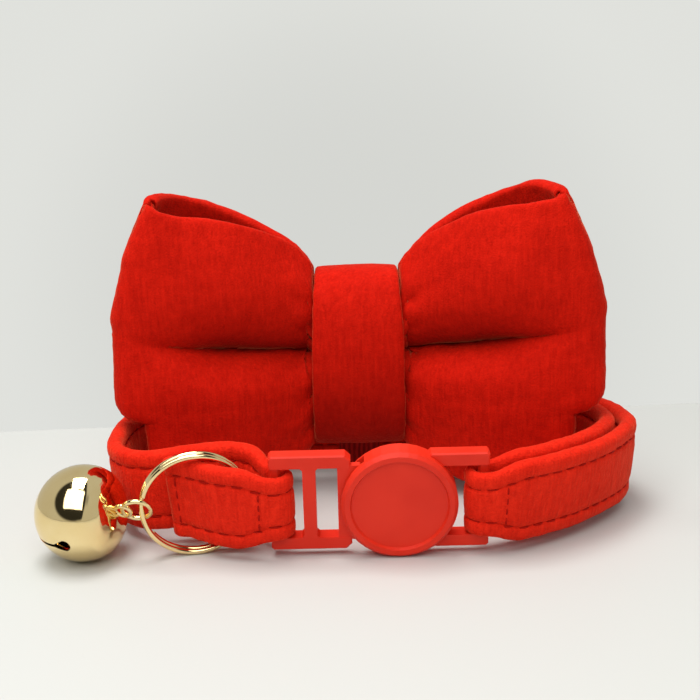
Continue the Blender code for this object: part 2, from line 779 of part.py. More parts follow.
def make_bell(material):
    axis, side, other = bell_axes()
    radius = BELL_DIAMETER / 2.0
    item = temporary("bell", lambda work: revolve_bell(work, radius))
    combine(item, temporary("hollow", lambda work: revolve_bell(work, radius - BELL_WALL)), "DIFFERENCE")
    toward_slit = Vector(BELL_SLIT_TOWARD)
    slit_side = (toward_slit - axis * toward_slit.dot(axis)).normalized()
    slit_normal = (-axis).cross(slit_side).normalized()
    half_span = radius * math.sin(BELL_HOLE_ANGLE)
    sizes = (half_span, BELL_CUT_REACH, BELL_SLIT_WIDTH / 2.0)
    slab = temporary(
        "slit", lambda work: oriented_cutter(work, "slab", -axis, slit_side, slit_normal, sizes)
    )
    slab.data.transform(Matrix.Translation(-axis * (radius * math.cos(BELL_HOLE_ANGLE))))
    combine(item, slab, "DIFFERENCE")
    for sign in (-1.0, 1.0):
        toward = -axis * math.cos(BELL_HOLE_ANGLE) + slit_side * sign * math.sin(BELL_HOLE_ANGLE)
        across = toward.cross(slit_normal).normalized()
        size = (BELL_HOLE_DIAMETER / 2.0, BELL_CUT_REACH)
        drill = temporary(
            "hole", lambda work: oriented_cutter(work, "drill", toward, across, across.cross(toward), size)
        )
        combine(item, drill, "DIFFERENCE")
    loop_radius = (BAIL_DIAMETER - BAIL_WIRE) / 2.0
    loop_centre = axis * (BAIL_REACH - BAIL_DIAMETER / 2.0)
    rings = []
    for i in range(JUMP_SEGMENTS):
        angle = 2.0 * math.pi * (i + 0.5) / JUMP_SEGMENTS
        outward = axis * math.cos(angle) + side * math.sin(angle)
        along = side * math.cos(angle) - axis * math.sin(angle)
        place = loop_centre + outward * loop_radius
        rings.append(wire_section(place, along, outward, other, BAIL_WIRE, WIRE_SIDES))
    vertices, faces = skin(rings, True)
    bail = mesh_object("bail", vertices, faces, material, math.radians(60.0))
    combine(item, bail, "UNION")
    finish_solid(item, "bell", material, math.radians(35.0))
    item.location = bell_centre()
    return item


def make_pellet(material):
    work = bmesh.new()
    bmesh.ops.create_icosphere(work, subdivisions=2, radius=PELLET_DIAMETER / 2.0)
    mesh = bpy.data.meshes.new("bell_pellet")
    work.to_mesh(mesh)
    work.free()
    item = bpy.data.objects.new("bell_pellet", mesh)
    bpy.context.collection.objects.link(item)
    finish_solid(item, "bell_pellet", material, math.radians(60.0))
    rest = bell_centre()
    rest.z = BELL_WALL + FIT_GAP + PELLET_DIAMETER / 2.0
    item.location = rest
    return item


def bow_top(share, front):
    table = (
        (0.00, 0.0),
        (0.208, 0.0),
        (0.222, 0.29),
        (0.26, 0.43),
        (0.32, 0.54),
        (0.48, 0.745),
        (0.68, 0.915),
        (0.84, 1.0),
        (1.00, 1.0),
    )
    waist = BOW_WAIST_Z + BOW_WAIST_HEIGHT / 2.0
    top = waist + (BOW_HEIGHT - BOW_CAP - waist) * interpolate(share, table)
    if front:
        along = min(max((share - 0.15) / 0.85, 0.0), 1.0)
        top -= BOW_FRONT_DROP * math.sin(math.pi * along) ** 0.6
    return top


def bow_bottom(share):
    table = (
        (0.00, 0.0),
        (0.208, 0.0),
        (0.222, 0.0),
        (0.26, 0.54),
        (0.32, 0.64),
        (0.48, 0.80),
        (0.68, 0.93),
        (0.84, 1.00),
        (1.00, 1.00),
    )
    waist = BOW_WAIST_Z - BOW_WAIST_HEIGHT / 2.0
    return waist + (BOW_CAP - waist) * interpolate(share, table)


def bow_tip_width(z):
    """Half width of the wing tips against height, as a share of the widest."""
    table = (
        (0.00, 0.80),
        (0.08, 0.85),
        (0.30, 0.862),
        (0.365, 0.965),
        (0.45, 1.0),
        (0.62, 0.985),
        (0.80, 0.91),
        (1.00, 0.80),
    )
    return interpolate(z / BOW_HEIGHT, table)


def bow_depth(share):
    """Half distance between the front and back layers."""
    if share < 0.2:
        return BOW_WAIST_DEPTH
    if share < BOW_FULLEST:
        ease = smoothstep(share, 0.2, BOW_FULLEST)
        return BOW_WAIST_DEPTH + (BOW_TIP_DEPTH - BOW_WAIST_DEPTH) * ease
    past = (share - BOW_FULLEST) / (1.0 - BOW_FULLEST)
    return BOW_TIP_DEPTH * math.sqrt(max(1.0 - past * past, 0.0))


def bow_pleat(share, v):
    """How far a layer stands in from its fullest place: lobes above and below a valley."""
    valley = math.exp(-(((v - 0.5) / BOW_VALLEY_WIDTH) ** 2))
    edges = BOW_EDGE_ROLL * (abs(v - 0.5) * 2.0) ** 4
    fade = 1.0 - smoothstep(share, 0.35, BOW_PLEAT_REACH)
    grow = smoothstep(share, 0.10, 0.26)
    return BOW_PLEAT_DEPTH * ((0.25 + 0.75 * grow) * fade * valley + edges * grow * (1.0 - 0.5 * share))


def bow_surface(angle, v):
    s = math.cos(angle)
    front = math.sin(angle) < 0.0
    share = abs(s)
    low = bow_bottom(share)
    high = bow_top(share, front)
    z = low + (high - low) * v
    narrow = 1.0 - share * share * (1.0 - bow_tip_width(z))
    x = BOW_CENTRE_X + s * BOW_HALF_WIDTH * narrow
    past_knot = max(share - BOW_SHARES[1], 0.0) / (1.0 - BOW_SHARES[1])
    sweep = BOW_CENTRE_Y - BOW_TIP_FORWARD * past_knot ** BOW_SWEEP_POWER
    depth = bow_depth(share)
    pleat = bow_pleat(share, v) * (1.0 if front else BOW_BACK_PLEAT_SHARE)
    depth -= min(pleat, depth * BOW_DEEPEST_PLEAT)
    y = sweep - depth if front else sweep + depth
    return Vector((x, y, z))


def make_bow(material):
    half = BOW_WALL / 2.0
    step = SURFACE_STEP
    rings = []
    quarter = [math.acos(share) for share in reversed(BOW_SHARES)]
    upper = quarter + [math.pi - angle for angle in reversed(quarter)]
    for angle in upper + [math.pi + angle for angle in upper]:
        outer = []
        inner = []
        rows = []
        for k in range(BOW_ROWS):
            v = k / (BOW_ROWS - 1.0)
            place = bow_surface(angle, v)
            along = bow_surface(angle + step, v) - bow_surface(angle - step, v)
            up = bow_surface(angle, min(v + step, 1.0)) - bow_surface(angle, max(v - step, 0.0))
            normal = along.cross(up).normalized()
            outer.append(place + normal * half)
            inner.append(place - normal * half)
            rows.append(place)
        top = rows[-1] + (rows[-1] - rows[-2]).normalized() * BOW_CAP
        bottom = rows[0] + (rows[0] - rows[1]).normalized() * BOW_CAP
        rings.append(outer + [top] + list(reversed(inner)) + [bottom])
    vertices, faces = skin(rings, True)
    lowest = min(vertex.z for vertex in vertices)
    shifted = [vertex - Vector((0.0, 0.0, lowest)) for vertex in vertices]
    return mesh_object("bow_loop", shifted, faces, material, math.radians(50.0))


def band_loop(name, centre, half_depth, half_height, power, width_at, wall, stations, material, crown):
    """A closed band round the X axis; sizes are to the middle of its wall."""
    rings = []
    angles = [2.0 * math.pi * (i + 0.5) / stations for i in range(stations)]
    points = []
    for angle in angles:
        cosine = math.cos(angle)
        sine = math.sin(angle)
        y = math.copysign(abs(cosine) ** (2.0 / power), cosine) * half_depth
        z = math.copysign(abs(sine) ** (2.0 / power), sine) * half_height
        points.append(np.array([y, z]))
    path = np.array(points)
    sides = right_hand(tangents(path, True))
    for point, side in zip(path, sides):
        half_width = width_at(point[1] / half_height) / 2.0
        ring = []
        for across, share in BAND_FACE:
            ring.append((across, share * wall / 2.0 + crown * (1.0 - across * across)))
        for across, share in BAND_BACK:
            ring.append((across, share * wall / 2.0))
        rows = []
        for across, out in ring:
            y = centre.y + point[0] + side[0] * out
            z = centre.z + point[1] + side[1] * out
            rows.append(Vector((centre.x + across * half_width, y, z)))
        rings.append(rows)
    vertices, faces = skin(rings, True)
    return mesh_object(name, vertices, faces, material, math.radians(50.0))


def make_knot(material):
    centre = Vector((BOW_CENTRE_X, BOW_CENTRE_Y, BOW_WAIST_Z))
    crown = 0.3 * MM

    def width_at(share):
        return KNOT_WIDTH * (1.0 - (1.0 - KNOT_TOP_SHARE) * max(share, 0.0) ** 2)

    half_depth = KNOT_DEPTH / 2.0 - KNOT_WALL / 2.0 - crown
    half_height = KNOT_HEIGHT / 2.0 - KNOT_WALL / 2.0 - crown
    return band_loop(
        "bow_knot", centre, half_depth, half_height, 3.4, width_at, KNOT_WALL, KNOT_STATIONS, material, crown
    )


def make_elastic(material):
    centre = Vector((BOW_CENTRE_X, strap_back_line_y(), buckle_centre_z() - STRAP_DROP))
    half_depth = STRAP_THICKNESS / 2.0 + 1.8 * FIT_GAP + ELASTIC_WALL / 2.0
    half_height = STRAP_WIDTH / 2.0 + 2.0 * FIT_GAP + ELASTIC_WALL / 2.0
    return band_loop(
        "bow_elastic",
        centre,
        half_depth,
        half_height,
        6.0,
        lambda share: ELASTIC_WIDTH,
        ELASTIC_WALL,
        ELASTIC_STATIONS,
        material,
        0.0,
    )


def centre_on_footprint(items):
    """Move everything so that the box of the whole stands centred on the origin."""
    bpy.context.view_layer.update()
    corners = []
    for item in items:
        for vertex in item.data.vertices:
            corners.append(item.matrix_world @ vertex.co)
    low = Vector([min(point[k] for point in corners) for k in range(3)])
    high = Vector([max(point[k] for point in corners) for k in range(3)])
    shift = Vector((-(low.x + high.x) / 2.0, -(low.y + high.y) / 2.0, -low.z))
    for item in items:
        item.location = item.location + shift
    return shift


clear_scene()
velvet = principled("red_velvet", (0.55, 0.02, 0.012), 0.85, 0.0)
plastic = principled("red_plastic", (0.80, 0.09, 0.05), 0.4, 0.0)
gold = principled("gold_plate", (0.83, 0.68, 0.36), 0.2, 1.0)
elastic = principled("red_elastic", (0.40, 0.03, 0.03), 0.8, 0.0)

parts = [
    make_strap(velvet),
    make_plug(plastic),
    make_socket(plastic),
    make_split_ring(gold),
    make_jump_ring(gold),
    make_bell(gold),
    make_pellet(gold),
    make_bow(velvet),
    make_knot(velvet),
    make_elastic(elastic),
]
centre_on_footprint(parts)
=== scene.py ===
import math

import bmesh
import bpy
import numpy as np
from mathutils import Matrix, Vector, noise


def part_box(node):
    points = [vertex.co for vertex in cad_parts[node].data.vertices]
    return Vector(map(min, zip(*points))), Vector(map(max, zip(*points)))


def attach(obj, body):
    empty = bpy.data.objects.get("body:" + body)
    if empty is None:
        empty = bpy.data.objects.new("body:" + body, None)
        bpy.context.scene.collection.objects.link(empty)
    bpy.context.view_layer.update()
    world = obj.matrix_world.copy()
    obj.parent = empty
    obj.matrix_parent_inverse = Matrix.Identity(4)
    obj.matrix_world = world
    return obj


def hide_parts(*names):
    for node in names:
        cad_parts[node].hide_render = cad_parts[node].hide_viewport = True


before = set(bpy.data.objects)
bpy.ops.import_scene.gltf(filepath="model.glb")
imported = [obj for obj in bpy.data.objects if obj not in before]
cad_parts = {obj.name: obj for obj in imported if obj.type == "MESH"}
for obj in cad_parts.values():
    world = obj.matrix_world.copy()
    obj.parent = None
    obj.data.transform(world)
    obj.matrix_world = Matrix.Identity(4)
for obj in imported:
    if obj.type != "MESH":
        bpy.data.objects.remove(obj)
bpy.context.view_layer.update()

# The table, the light and the camera

# The collar stands near the far edge of a pale table, in soft light from above, before a pale
# room. The camera looks down at it by 12.7 degrees, rolled a little, as the photo was taken.
MM = 0.001
PALE_TABLE = (0.555, 0.565, 0.545)
HAZE_LIFT = 1.03
TABLE_EDGE_Y = 46.2 * MM
TABLE_EDGE_TURN = math.radians(3.9)
TABLE_WIDTH = 1.2
TABLE_FRONT = -0.60
TABLE_THICKNESS = 0.014
ROOM_PALE = (0.965, 0.975, 0.93)
ROOM_DARK = (0.05, 0.05, 0.045)
ROOM_LIGHT = 0.58
ROOM_SEEN = 0.775
WINDOW_SIDE = (-0.13, -0.62, 0.77)
DARK_RIM = (52.0, 47.0)
# Painted shade: the room behind the bow is dimmed, standing in for the collar's soft shadow on the wall.
BEHIND_BOW = (0.0, 0.984, -0.178)
DIM_RIM = (17.0, 3.0)
DIM_SHARE = 0.11
CAMERA_PLACE = (0.43 * MM, -157.19 * MM, 58.0 * MM)
CAMERA_DOWN = math.radians(12.7)
CAMERA_ROLL = math.radians(-1.3)
CAMERA_SENSOR = 36.0
CAMERA_LENS = 61.714


def tree_and_shader(material):
    """The node tree of a new material and its shader, ready for links."""
    material.use_nodes = True
    tree = material.node_tree
    return tree, tree.nodes["Principled BSDF"]


def piece_place(tree):
    """The place on the piece itself, for patterns that stay with it."""
    return tree.nodes.new("ShaderNodeTexCoord").outputs["Object"]


def noise_layer(tree, place, scale, detail=2.0, roughness=0.5):
    layer = tree.nodes.new("ShaderNodeTexNoise")
    layer.inputs["Scale"].default_value = scale
    layer.inputs["Detail"].default_value = detail
    layer.inputs["Roughness"].default_value = roughness
    tree.links.new(place, layer.inputs["Vector"])
    return layer.outputs["Fac"]


def two_colours(tree, share, first, second):
    """A mix of two colours, each of them a plain one or another node's."""
    mix = tree.nodes.new("ShaderNodeMix")
    mix.data_type = "RGBA"
    tree.links.new(share, mix.inputs["Factor"])
    for name, colour in (("A", first), ("B", second)):
        if isinstance(colour, tuple):
            mix.inputs[name].default_value = (*colour, 1.0)
        else:
            tree.links.new(colour, mix.inputs[name])
    return mix.outputs["Result"]


def ranged(tree, value, low, high, start=0.0, end=1.0, smooth=False):
    """The value brought from between start and end to between low and high."""
    step = tree.nodes.new("ShaderNodeMapRange")
    if smooth:
        step.interpolation_type = "SMOOTHSTEP"
    for name, limit in (("From Min", start), ("From Max", end), ("To Min", low), ("To Max", high)):
        step.inputs[name].default_value = limit
    tree.links.new(value, step.inputs["Value"])
    return step.outputs["Result"]


def table_material():
    material = bpy.data.materials.new("pale_table_top")
    tree, shader = tree_and_shader(material)
    haze = noise_layer(tree, piece_place(tree), 9.0)
    paler = tuple(share * HAZE_LIFT for share in PALE_TABLE)
    tree.links.new(two_colours(tree, haze, PALE_TABLE, paler), shader.inputs["Base Color"])
    shader.inputs["Roughness"].default_value = 0.55
    shader.inputs["Specular IOR Level"].default_value = 0.25
    return material


bpy.ops.object.select_all(action="DESELECT")
table_middle = (0.0, (TABLE_EDGE_Y + TABLE_FRONT) / 2.0, -TABLE_THICKNESS / 2.0)
bpy.ops.mesh.primitive_cube_add(size=1.0, location=table_middle)
studio = bpy.context.view_layer.objects.active
studio.name = "studio_table"
studio.scale = (TABLE_WIDTH, TABLE_EDGE_Y - TABLE_FRONT, TABLE_THICKNESS)
bpy.ops.object.transform_apply(location=True, rotation=True, scale=True)
for vertex in studio.data.vertices:
    if vertex.co.y > 0.0:
        vertex.co.y += vertex.co.x * math.tan(TABLE_EDGE_TURN)
studio.data.materials.append(table_material())


def softbox(name, place, aim, width, height, watts, colour):
    light = bpy.data.lights.new(name, "AREA")
    light.shape = "RECTANGLE"
    light.size = width
    light.size_y = height
    light.energy = watts
    light.color = colour
    holder = bpy.data.objects.new(name, light)
    holder.location = place
    holder.rotation_euler = (Vector(aim) - Vector(place)).to_track_quat("-Z", "Y").to_euler()
    bpy.context.scene.collection.objects.link(holder)


softbox(
    "window_light", place=(-0.055, -0.26, 0.32), aim=(0.0, 0.0, 0.01),
    width=0.44, height=0.34, watts=1.42, colour=(1.0, 0.99, 0.975),
)
softbox(
    "ceiling_light", place=(-0.06, 0.0, 0.36), aim=(0.0, 0.0, 0.0),
    width=0.20, height=0.16, watts=1.05, colour=(1.0, 0.99, 0.97),
)


def studio_world():
    """A pale room, dark round the window that the bell mirrors, with painted shade behind the bow."""
    room = bpy.data.worlds.new("studio_room")
    room.use_nodes = True
    tree = room.node_tree
    ground = tree.nodes["Background"]
    look = tree.nodes.new("ShaderNodeTexCoord")

    def nearness(direction):
        toward = tree.nodes.new("ShaderNodeVectorMath")
        toward.operation = "DOT_PRODUCT"
        toward.inputs[1].default_value = Vector(direction).normalized()
        tree.links.new(look.outputs["Generated"], toward.inputs[0])
        return toward.outputs["Value"]

    start, end = (math.cos(math.radians(turn)) for turn in DARK_RIM)
    dark = ranged(tree, nearness(WINDOW_SIDE), 0.0, 1.0, start, end)
    start, end = (math.cos(math.radians(turn)) for turn in DIM_RIM)
    dim = ranged(tree, nearness(BEHIND_BOW), 0.0, DIM_SHARE, start, end, smooth=True)
    walls = two_colours(tree, dark, ROOM_PALE, ROOM_DARK)
    tree.links.new(two_colours(tree, dim, walls, (0.0, 0.0, 0.0)), ground.inputs["Color"])
    path = tree.nodes.new("ShaderNodeLightPath")
    level = ranged(tree, path.outputs["Is Camera Ray"], ROOM_LIGHT, ROOM_SEEN)
    tree.links.new(level, ground.inputs["Strength"])
    return room


bpy.context.scene.world = studio_world()

lens = bpy.data.cameras.new("photo_camera")
lens.sensor_width = CAMERA_SENSOR
lens.lens = CAMERA_LENS
lens.clip_start = 5.0 * MM
camera = bpy.data.objects.new("photo_camera", lens)
camera.location = CAMERA_PLACE
tilt = Matrix.Rotation(math.pi / 2.0 - CAMERA_DOWN, 4, "X")
roll = Matrix.Rotation(CAMERA_ROLL, 4, "Z")
camera.rotation_euler = (tilt @ roll).to_euler()
bpy.context.scene.collection.objects.link(camera)
bpy.context.scene.camera = camera
bpy.context.scene.view_settings.view_transform = "Standard"

# The velvet strap

# One long velvet ribbon, 11 mm wide, its edges rolled in and stitched along both sides. Its left
# end goes round the left bar of the buckle, through the split ring and is sewn back on itself.
# The right end goes round the right bar and runs back inside the loop as a second layer.
# The values below count from the part's own origin, which lies here in the frame.
PART_TO_FRAME = np.array([1.9793 * MM, -19.891 * MM])
FRAME_LIFT = 0.3598 * MM
BUCKLE_MIDDLE_Z = 7.1098 * MM
STRAP_DROP = 0.3 * MM
STRAP_MIDDLE_Z = BUCKLE_MIDDLE_Z + FRAME_LIFT - STRAP_DROP
STRAP_WIDTH = 11.0 * MM
STRAP_THICKNESS = 2.2 * MM
FOLD_WIDTH = 8.6 * MM
FOLD_THICKNESS = 1.5 * MM
FOLD_RADIUS = 1.7 * MM
FOLD_EASE = 5.0 * MM
BAR_LINE_Y = 3.2 * MM
LEFT_BAR_X = -11.1 * MM
RIGHT_BAR_X = 14.4 * MM
LOOP_WIDTH = 70.8 * MM
LOOP_CENTRE_X = 1.5 * MM
LOOP_WIDEST_Y = 20.0 * MM
LOOP_STRAIGHT_HALF = 14.8 * MM
LOOP_BACK_Y = 39.1 * MM
LEFT_CORNER_POWER = 2.2
RIGHT_CORNER_POWER = 1.45
BACK_POWER = 2.8
INNER_END_X = 10.0 * MM
INNER_LIFT = 2.8 * MM
INNER_EASE = 9.0 * MM
FRONT_LEAN = 9.0
SIDE_LEAN = 5.0
BACK_LEAN = 2.0
LEAN_EASE = 4.0 * MM
LEFT_ROUTE = (
    (-12.0, 5.2), (-12.8, 6.6), (-14.1, 8.1), (-16.2, 9.1), (-19.5, 9.3),
    (-23.0, 8.9), (-26.5, 8.7), (-29.3, 9.8), (-31.4, 12.2), (-32.5, 15.2),
)
TAB_ROUTE = (
    (-13.0, 1.5), (-15.0, 1.9), (-17.0, 2.4), (-18.6, 3.05), (-20.3, 4.15),
    (-22.0, 5.3), (-23.4, 6.05), (-24.7, 6.2),
)
CLOTH_STEP = 0.45 * MM
HEM = 0.95 * MM
HEM_TURNS = (35.0, 65.0, 90.0, 115.0, 145.0)
STITCH_INSET = 2.1 * MM
GROOVE_DEPTH = 0.30 * MM
GROOVE_WIDTH = 0.2 * MM
CLOTH_PUFF = 0.10 * MM
HEM_PUFF = 0.04 * MM
END_ROUNDING = 0.9 * MM
END_NARROWING = 0.5 * MM
EDGE_WANDER = 0.10 * MM
WANDER_WAVE = 13.0 * MM
PADDING_WAVE = 7.0 * MM
TUFT_WAVE = 1.1 * MM
PILE_CRUSH = 0.65
# The strap and the bow are one velvet. The strap's colours are painted lighter: painted light for the
# stronger light and table bounce on it.
STRAP_LIT = (0.84, 0.026, 0.009)
STRAP_DEEP = (0.44, 0.004, 0.001)
# Painted shade: the near-black red the velvet takes where its shade mask is set.
PAINTED_SHADE_RED = (0.035, 0.0002, 0.0002)


def ease(value, low, high):
    """A share that climbs smoothly from 0 at the low value to 1 at the high one."""
    share = np.clip((value - low) / (high - low), 0.0, 1.0)
    return share * share * (3.0 - 2.0 * share)


def curve_through(points, steps):
    """A smooth curve through the points."""
    rows = np.array([points[0], *points, points[-1]], float)
    curve = [rows[1]]
    for i in range(1, len(rows) - 2):
        before, start, end, after = rows[i - 1 : i + 3]
        for share in np.linspace(0.0, 1.0, steps + 1)[1:]:
            slope = (end - before) * share
            bend = (2.0 * before - 5.0 * start + 4.0 * end - after) * share**2
            twist = (3.0 * (start - end) + after - before) * share**3
            curve.append(start + (slope + bend + twist) / 2.0)
    return np.array(curve)


def lengths_along(path):
    return np.concatenate([[0.0], np.cumsum(np.linalg.norm(np.diff(path, axis=0), axis=1))])


def even_steps(path, step):
    lengths = lengths_along(path)
    places = np.linspace(0.0, lengths[-1], max(int(round(lengths[-1] / step)), 2) + 1)
    return np.column_stack([np.interp(places, lengths, path[:, k]) for k in range(path.shape[1])])


def smoothed(rows, times):
    """The rows after each inner one is blended with its neighbours, as often as asked."""
    rows = rows.copy()
    for turn in range(times):
        rows[1:-1] = (rows[:-2] + 2.0 * rows[1:-1] + rows[2:]) / 4.0
    return rows


def blunt_circle(angles, power):
    """A circle of radius 1, drawn out towards its corners as the power grows past 2."""
    across = np.sign(np.cos(angles)) * np.abs(np.cos(angles)) ** (2.0 / power)
    along = np.sign(np.sin(angles)) * np.abs(np.sin(angles)) ** (2.0 / power)
    return across, along


def corner(side, half_width, front_y, power):
    across, along = blunt_circle(np.linspace(math.pi / 2.0, 0.0, 60), power)
    reach = half_width + side * LOOP_CENTRE_X - LOOP_STRAIGHT_HALF
    x = side * (LOOP_STRAIGHT_HALF + reach * across)
    return np.column_stack([x, LOOP_WIDEST_Y - (LOOP_WIDEST_Y - front_y) * along])


def back_of_loop(half_width, back_y):
    across, along = blunt_circle(np.linspace(math.pi, 0.0, 240), BACK_POWER)
    x = LOOP_CENTRE_X + half_width * across
    return np.column_stack([x, LOOP_WIDEST_Y + (back_y - LOOP_WIDEST_Y) * along])


def joined(*paths):
    """The paths as one, without the points that fall together."""
    rows = []
    for point in np.vstack(paths):
        if not rows or np.linalg.norm(rows[-1] - point) > 0.01 * MM:
            rows.append(point)
    return np.array(rows)


def side_of(path):
    """The direction to the right of a path, at each of its points."""
    direction = np.gradient(path, axis=0)
    direction /= np.linalg.norm(direction, axis=1)[:, None]
    return np.column_stack([direction[:, 1], -direction[:, 0]])


def in_metres(route):
    return [(x * MM, y * MM) for x, y in route]


def strap_lines():
    """The turned end, the loop and the inner layer, each as one line seen from above."""
    half = LOOP_WIDTH / 2.0 - STRAP_THICKNESS / 2.0
    near_y = BAR_LINE_Y - FOLD_RADIUS
    back = back_of_loop(half, LOOP_BACK_Y)
    right = corner(1.0, half, near_y, RIGHT_CORNER_POWER)[::-1]
    start = (LEFT_BAR_X, BAR_LINE_Y + FOLD_RADIUS)
    left = curve_through([start, *in_metres(LEFT_ROUTE), tuple(back[0])], 8)
    loop = joined(left, back, right, [(RIGHT_BAR_X, near_y)])
    tab = curve_through([(LEFT_BAR_X, near_y), *in_metres(TAB_ROUTE)], 8)[::-1]
    reverse = even_steps(loop[::-1], 0.4 * MM)
    at_back = reverse[:, 1] > LOOP_WIDEST_Y + STRAP_WIDTH
    end = np.where(at_back & (reverse[:, 0] < INNER_END_X))[0][0]
    reverse = reverse[: end + 1]
    blend = ease(lengths_along(reverse), 0.0, INNER_EASE)
    lift = 2.0 * FOLD_RADIUS * (1.0 - blend) + INNER_LIFT * blend
    inner = reverse - side_of(reverse) * lift[:, None]
    return tab, loop, inner


def bar_fold(x, side):
    angles = np.linspace(-math.pi / 2.0, math.pi / 2.0, 17)
    y = BAR_LINE_Y + FOLD_RADIUS * np.sin(angles)
    return np.column_stack([x + side * FOLD_RADIUS * np.cos(angles), y])


def lean_line():
    """The line that the strap leans about, its outward normals and its angles."""
    half = LOOP_WIDTH / 2.0 - STRAP_THICKNESS
    left = corner(-1.0, half, BAR_LINE_Y, LEFT_CORNER_POWER)
    right = corner(1.0, half, BAR_LINE_Y, RIGHT_CORNER_POWER)[::-1]
    back = back_of_loop(half, LOOP_BACK_Y - STRAP_THICKNESS / 2.0)
    front = [(x, BAR_LINE_Y) for x in np.linspace(LOOP_STRAIGHT_HALF, -LOOP_STRAIGHT_HALF, 30)]
    line = joined(left, back, right, front)[:-1]
    line = even_steps(np.vstack([line, line[:1]]), 0.3 * MM)
    around = np.roll(line, -1, axis=0) - np.roll(line, 1, axis=0)
    for turn in range(12):
        around = (np.roll(around, -1, axis=0) + 2.0 * around + np.roll(around, 1, axis=0)) / 4.0
    around /= np.linalg.norm(around, axis=1)[:, None]
    outward = np.column_stack([-around[:, 1], around[:, 0]])
    y = line[:, 1]
    to_side = (FRONT_LEAN - SIDE_LEAN) * ease(y, BAR_LINE_Y + LEAN_EASE, LOOP_WIDEST_Y)
    to_back = (SIDE_LEAN - BACK_LEAN) * ease(y, LOOP_WIDEST_Y, LOOP_BACK_Y)
    angles = np.where(y < LOOP_WIDEST_Y, FRONT_LEAN - to_side, SIDE_LEAN - to_back)
    return line, outward, np.radians(angles)


class Ribbon:
    """Places points on the strap: s along it, out through its thickness, up across its width."""

    def __init__(self):
        tab, loop, inner = strap_lines()
        path = joined(tab, bar_fold(LEFT_BAR_X, 1.0), loop, bar_fold(RIGHT_BAR_X, -1.0), inner)
        self.path = smoothed(even_steps(path, CLOTH_STEP), 3)
        self.s = lengths_along(self.path)
        self.side = side_of(self.path)
        self.length = self.s[-1]
        self.folds = []
        for x, side in ((LEFT_BAR_X, 1.0), (RIGHT_BAR_X, -1.0)):
            middle = np.array([x + side * FOLD_RADIUS, BAR_LINE_Y])
            self.folds.append(self.s[np.argmin(np.linalg.norm(self.path - middle, axis=1))])
        line, outward, angles = lean_line()
        near = [int(np.argmin(np.linalg.norm(line - point, axis=1))) for point in self.path]
        self.origin = smoothed(line[near], 6)
        self.out = smoothed(outward[near], 6)
        self.out /= np.linalg.norm(self.out, axis=1)[:, None]
        self.angle = angles[near]

    def sizes(self, s):
        """The width and thickness there: the cloth is pressed narrow and thin round the bars."""
        flat = FOLD_RADIUS * math.pi / 2.0
        full = ease(min(abs(s - place) for place in self.folds), flat, flat + FOLD_EASE)
        width = FOLD_WIDTH + (STRAP_WIDTH - FOLD_WIDTH) * full
        return width, FOLD_THICKNESS + (STRAP_THICKNESS - FOLD_THICKNESS) * full

    def place(self, s, out, up):
        columns = (*self.path.T, *self.side.T, *self.origin.T, *self.out.T, self.angle)
        row = [np.interp(s, self.s, values) for values in columns]
        point = np.array(row[0:2]) + np.array(row[2:4]) * out
        origin = np.array(row[4:6])
        outward = np.array(row[6:8])
        outward /= np.linalg.norm(outward)
        along = np.array([-outward[1], outward[0]])
        sine, cosine = math.sin(row[8]), math.cos(row[8])
        distance = float((point - origin) @ outward)
        plan = origin + along * float((point - origin) @ along)
        plan = plan + outward * (distance * cosine + up * sine) + PART_TO_FRAME
        return Vector((plan[0], plan[1], STRAP_MIDDLE_Z + up * cosine - distance * sine))


def cloth_section(width, thickness):
    """Outline across the strap: a soft middle, a sewn groove and a rolled hem at each edge."""
    half = thickness / 2.0
    groove = width / 2.0 - STITCH_INSET
    hem = width / 2.0 - HEM
    ups = [-hem, -hem + 0.5 * MM]
    ups += [-groove + beside * MM for beside in (-0.32, -0.14, 0.0, 0.14, 0.32)]
    ups += [-share * groove for share in (0.72, 0.45, 0.15)]
    ups += [-up for up in reversed(ups)]
    face = []
    for up in ups:
        sink = GROOVE_DEPTH * math.exp(-(((abs(up) - groove) / GROOVE_WIDTH) ** 2))
        puff = CLOTH_PUFF * (1.0 - (up / groove) ** 2) if abs(up) < groove else HEM_PUFF
        face.append((half - CLOTH_PUFF + puff - sink, up))
    edge = []
    for turn in HEM_TURNS:
        angle = math.radians(turn)
        edge.append((half * math.cos(angle), hem + HEM * math.sin(angle)))
    back = [(-out, up) for out, up in reversed(face)]
    return face + edge + back + [(-out, -up) for out, up in edge]


def wander(x, seed, wave):
    """Smooth unevenness between -1 and 1 along a length."""
    total = 0.0
    for k, (rate, weight) in enumerate(((1.0, 0.5), (2.3, 0.3), (4.9, 0.2))):
        total += weight * math.sin(x / wave * rate * 2.0 * math.pi + seed * (1.7 + k) + k * k)
    return total


def tube_faces(rings, points, base=0, closed=False):
    """Faces over rings of points. The rings close on themselves or have a cap at each end."""
    faces = []
    for i in range(rings if closed else rings - 1):
        here = base + i * points
        there = base + (i + 1) % rings * points
        for k in range(points):
            after = (k + 1) % points
            faces.append((here + k, here + after, there + after, there + k))
    if not closed:
        last = base + (rings - 1) * points
        faces.append(tuple(range(base, base + points)))
        faces.append(tuple(range(last, last + points)))
    return faces


def mesh_piece(name, vertices, faces):
    """A finished object at the origin, with smooth faces that look outward."""
    mesh = bpy.data.meshes.new(name)
    mesh.from_pydata([tuple(vertex) for vertex in vertices], [], faces)
    work = bmesh.new()
    work.from_mesh(mesh)
    bmesh.ops.recalc_face_normals(work, faces=work.faces)
    work.to_mesh(mesh)
    work.free()
    piece = bpy.data.objects.new(name, mesh)
    bpy.context.scene.collection.objects.link(piece)
    for polygon in mesh.polygons:
        polygon.use_smooth = True
    return piece


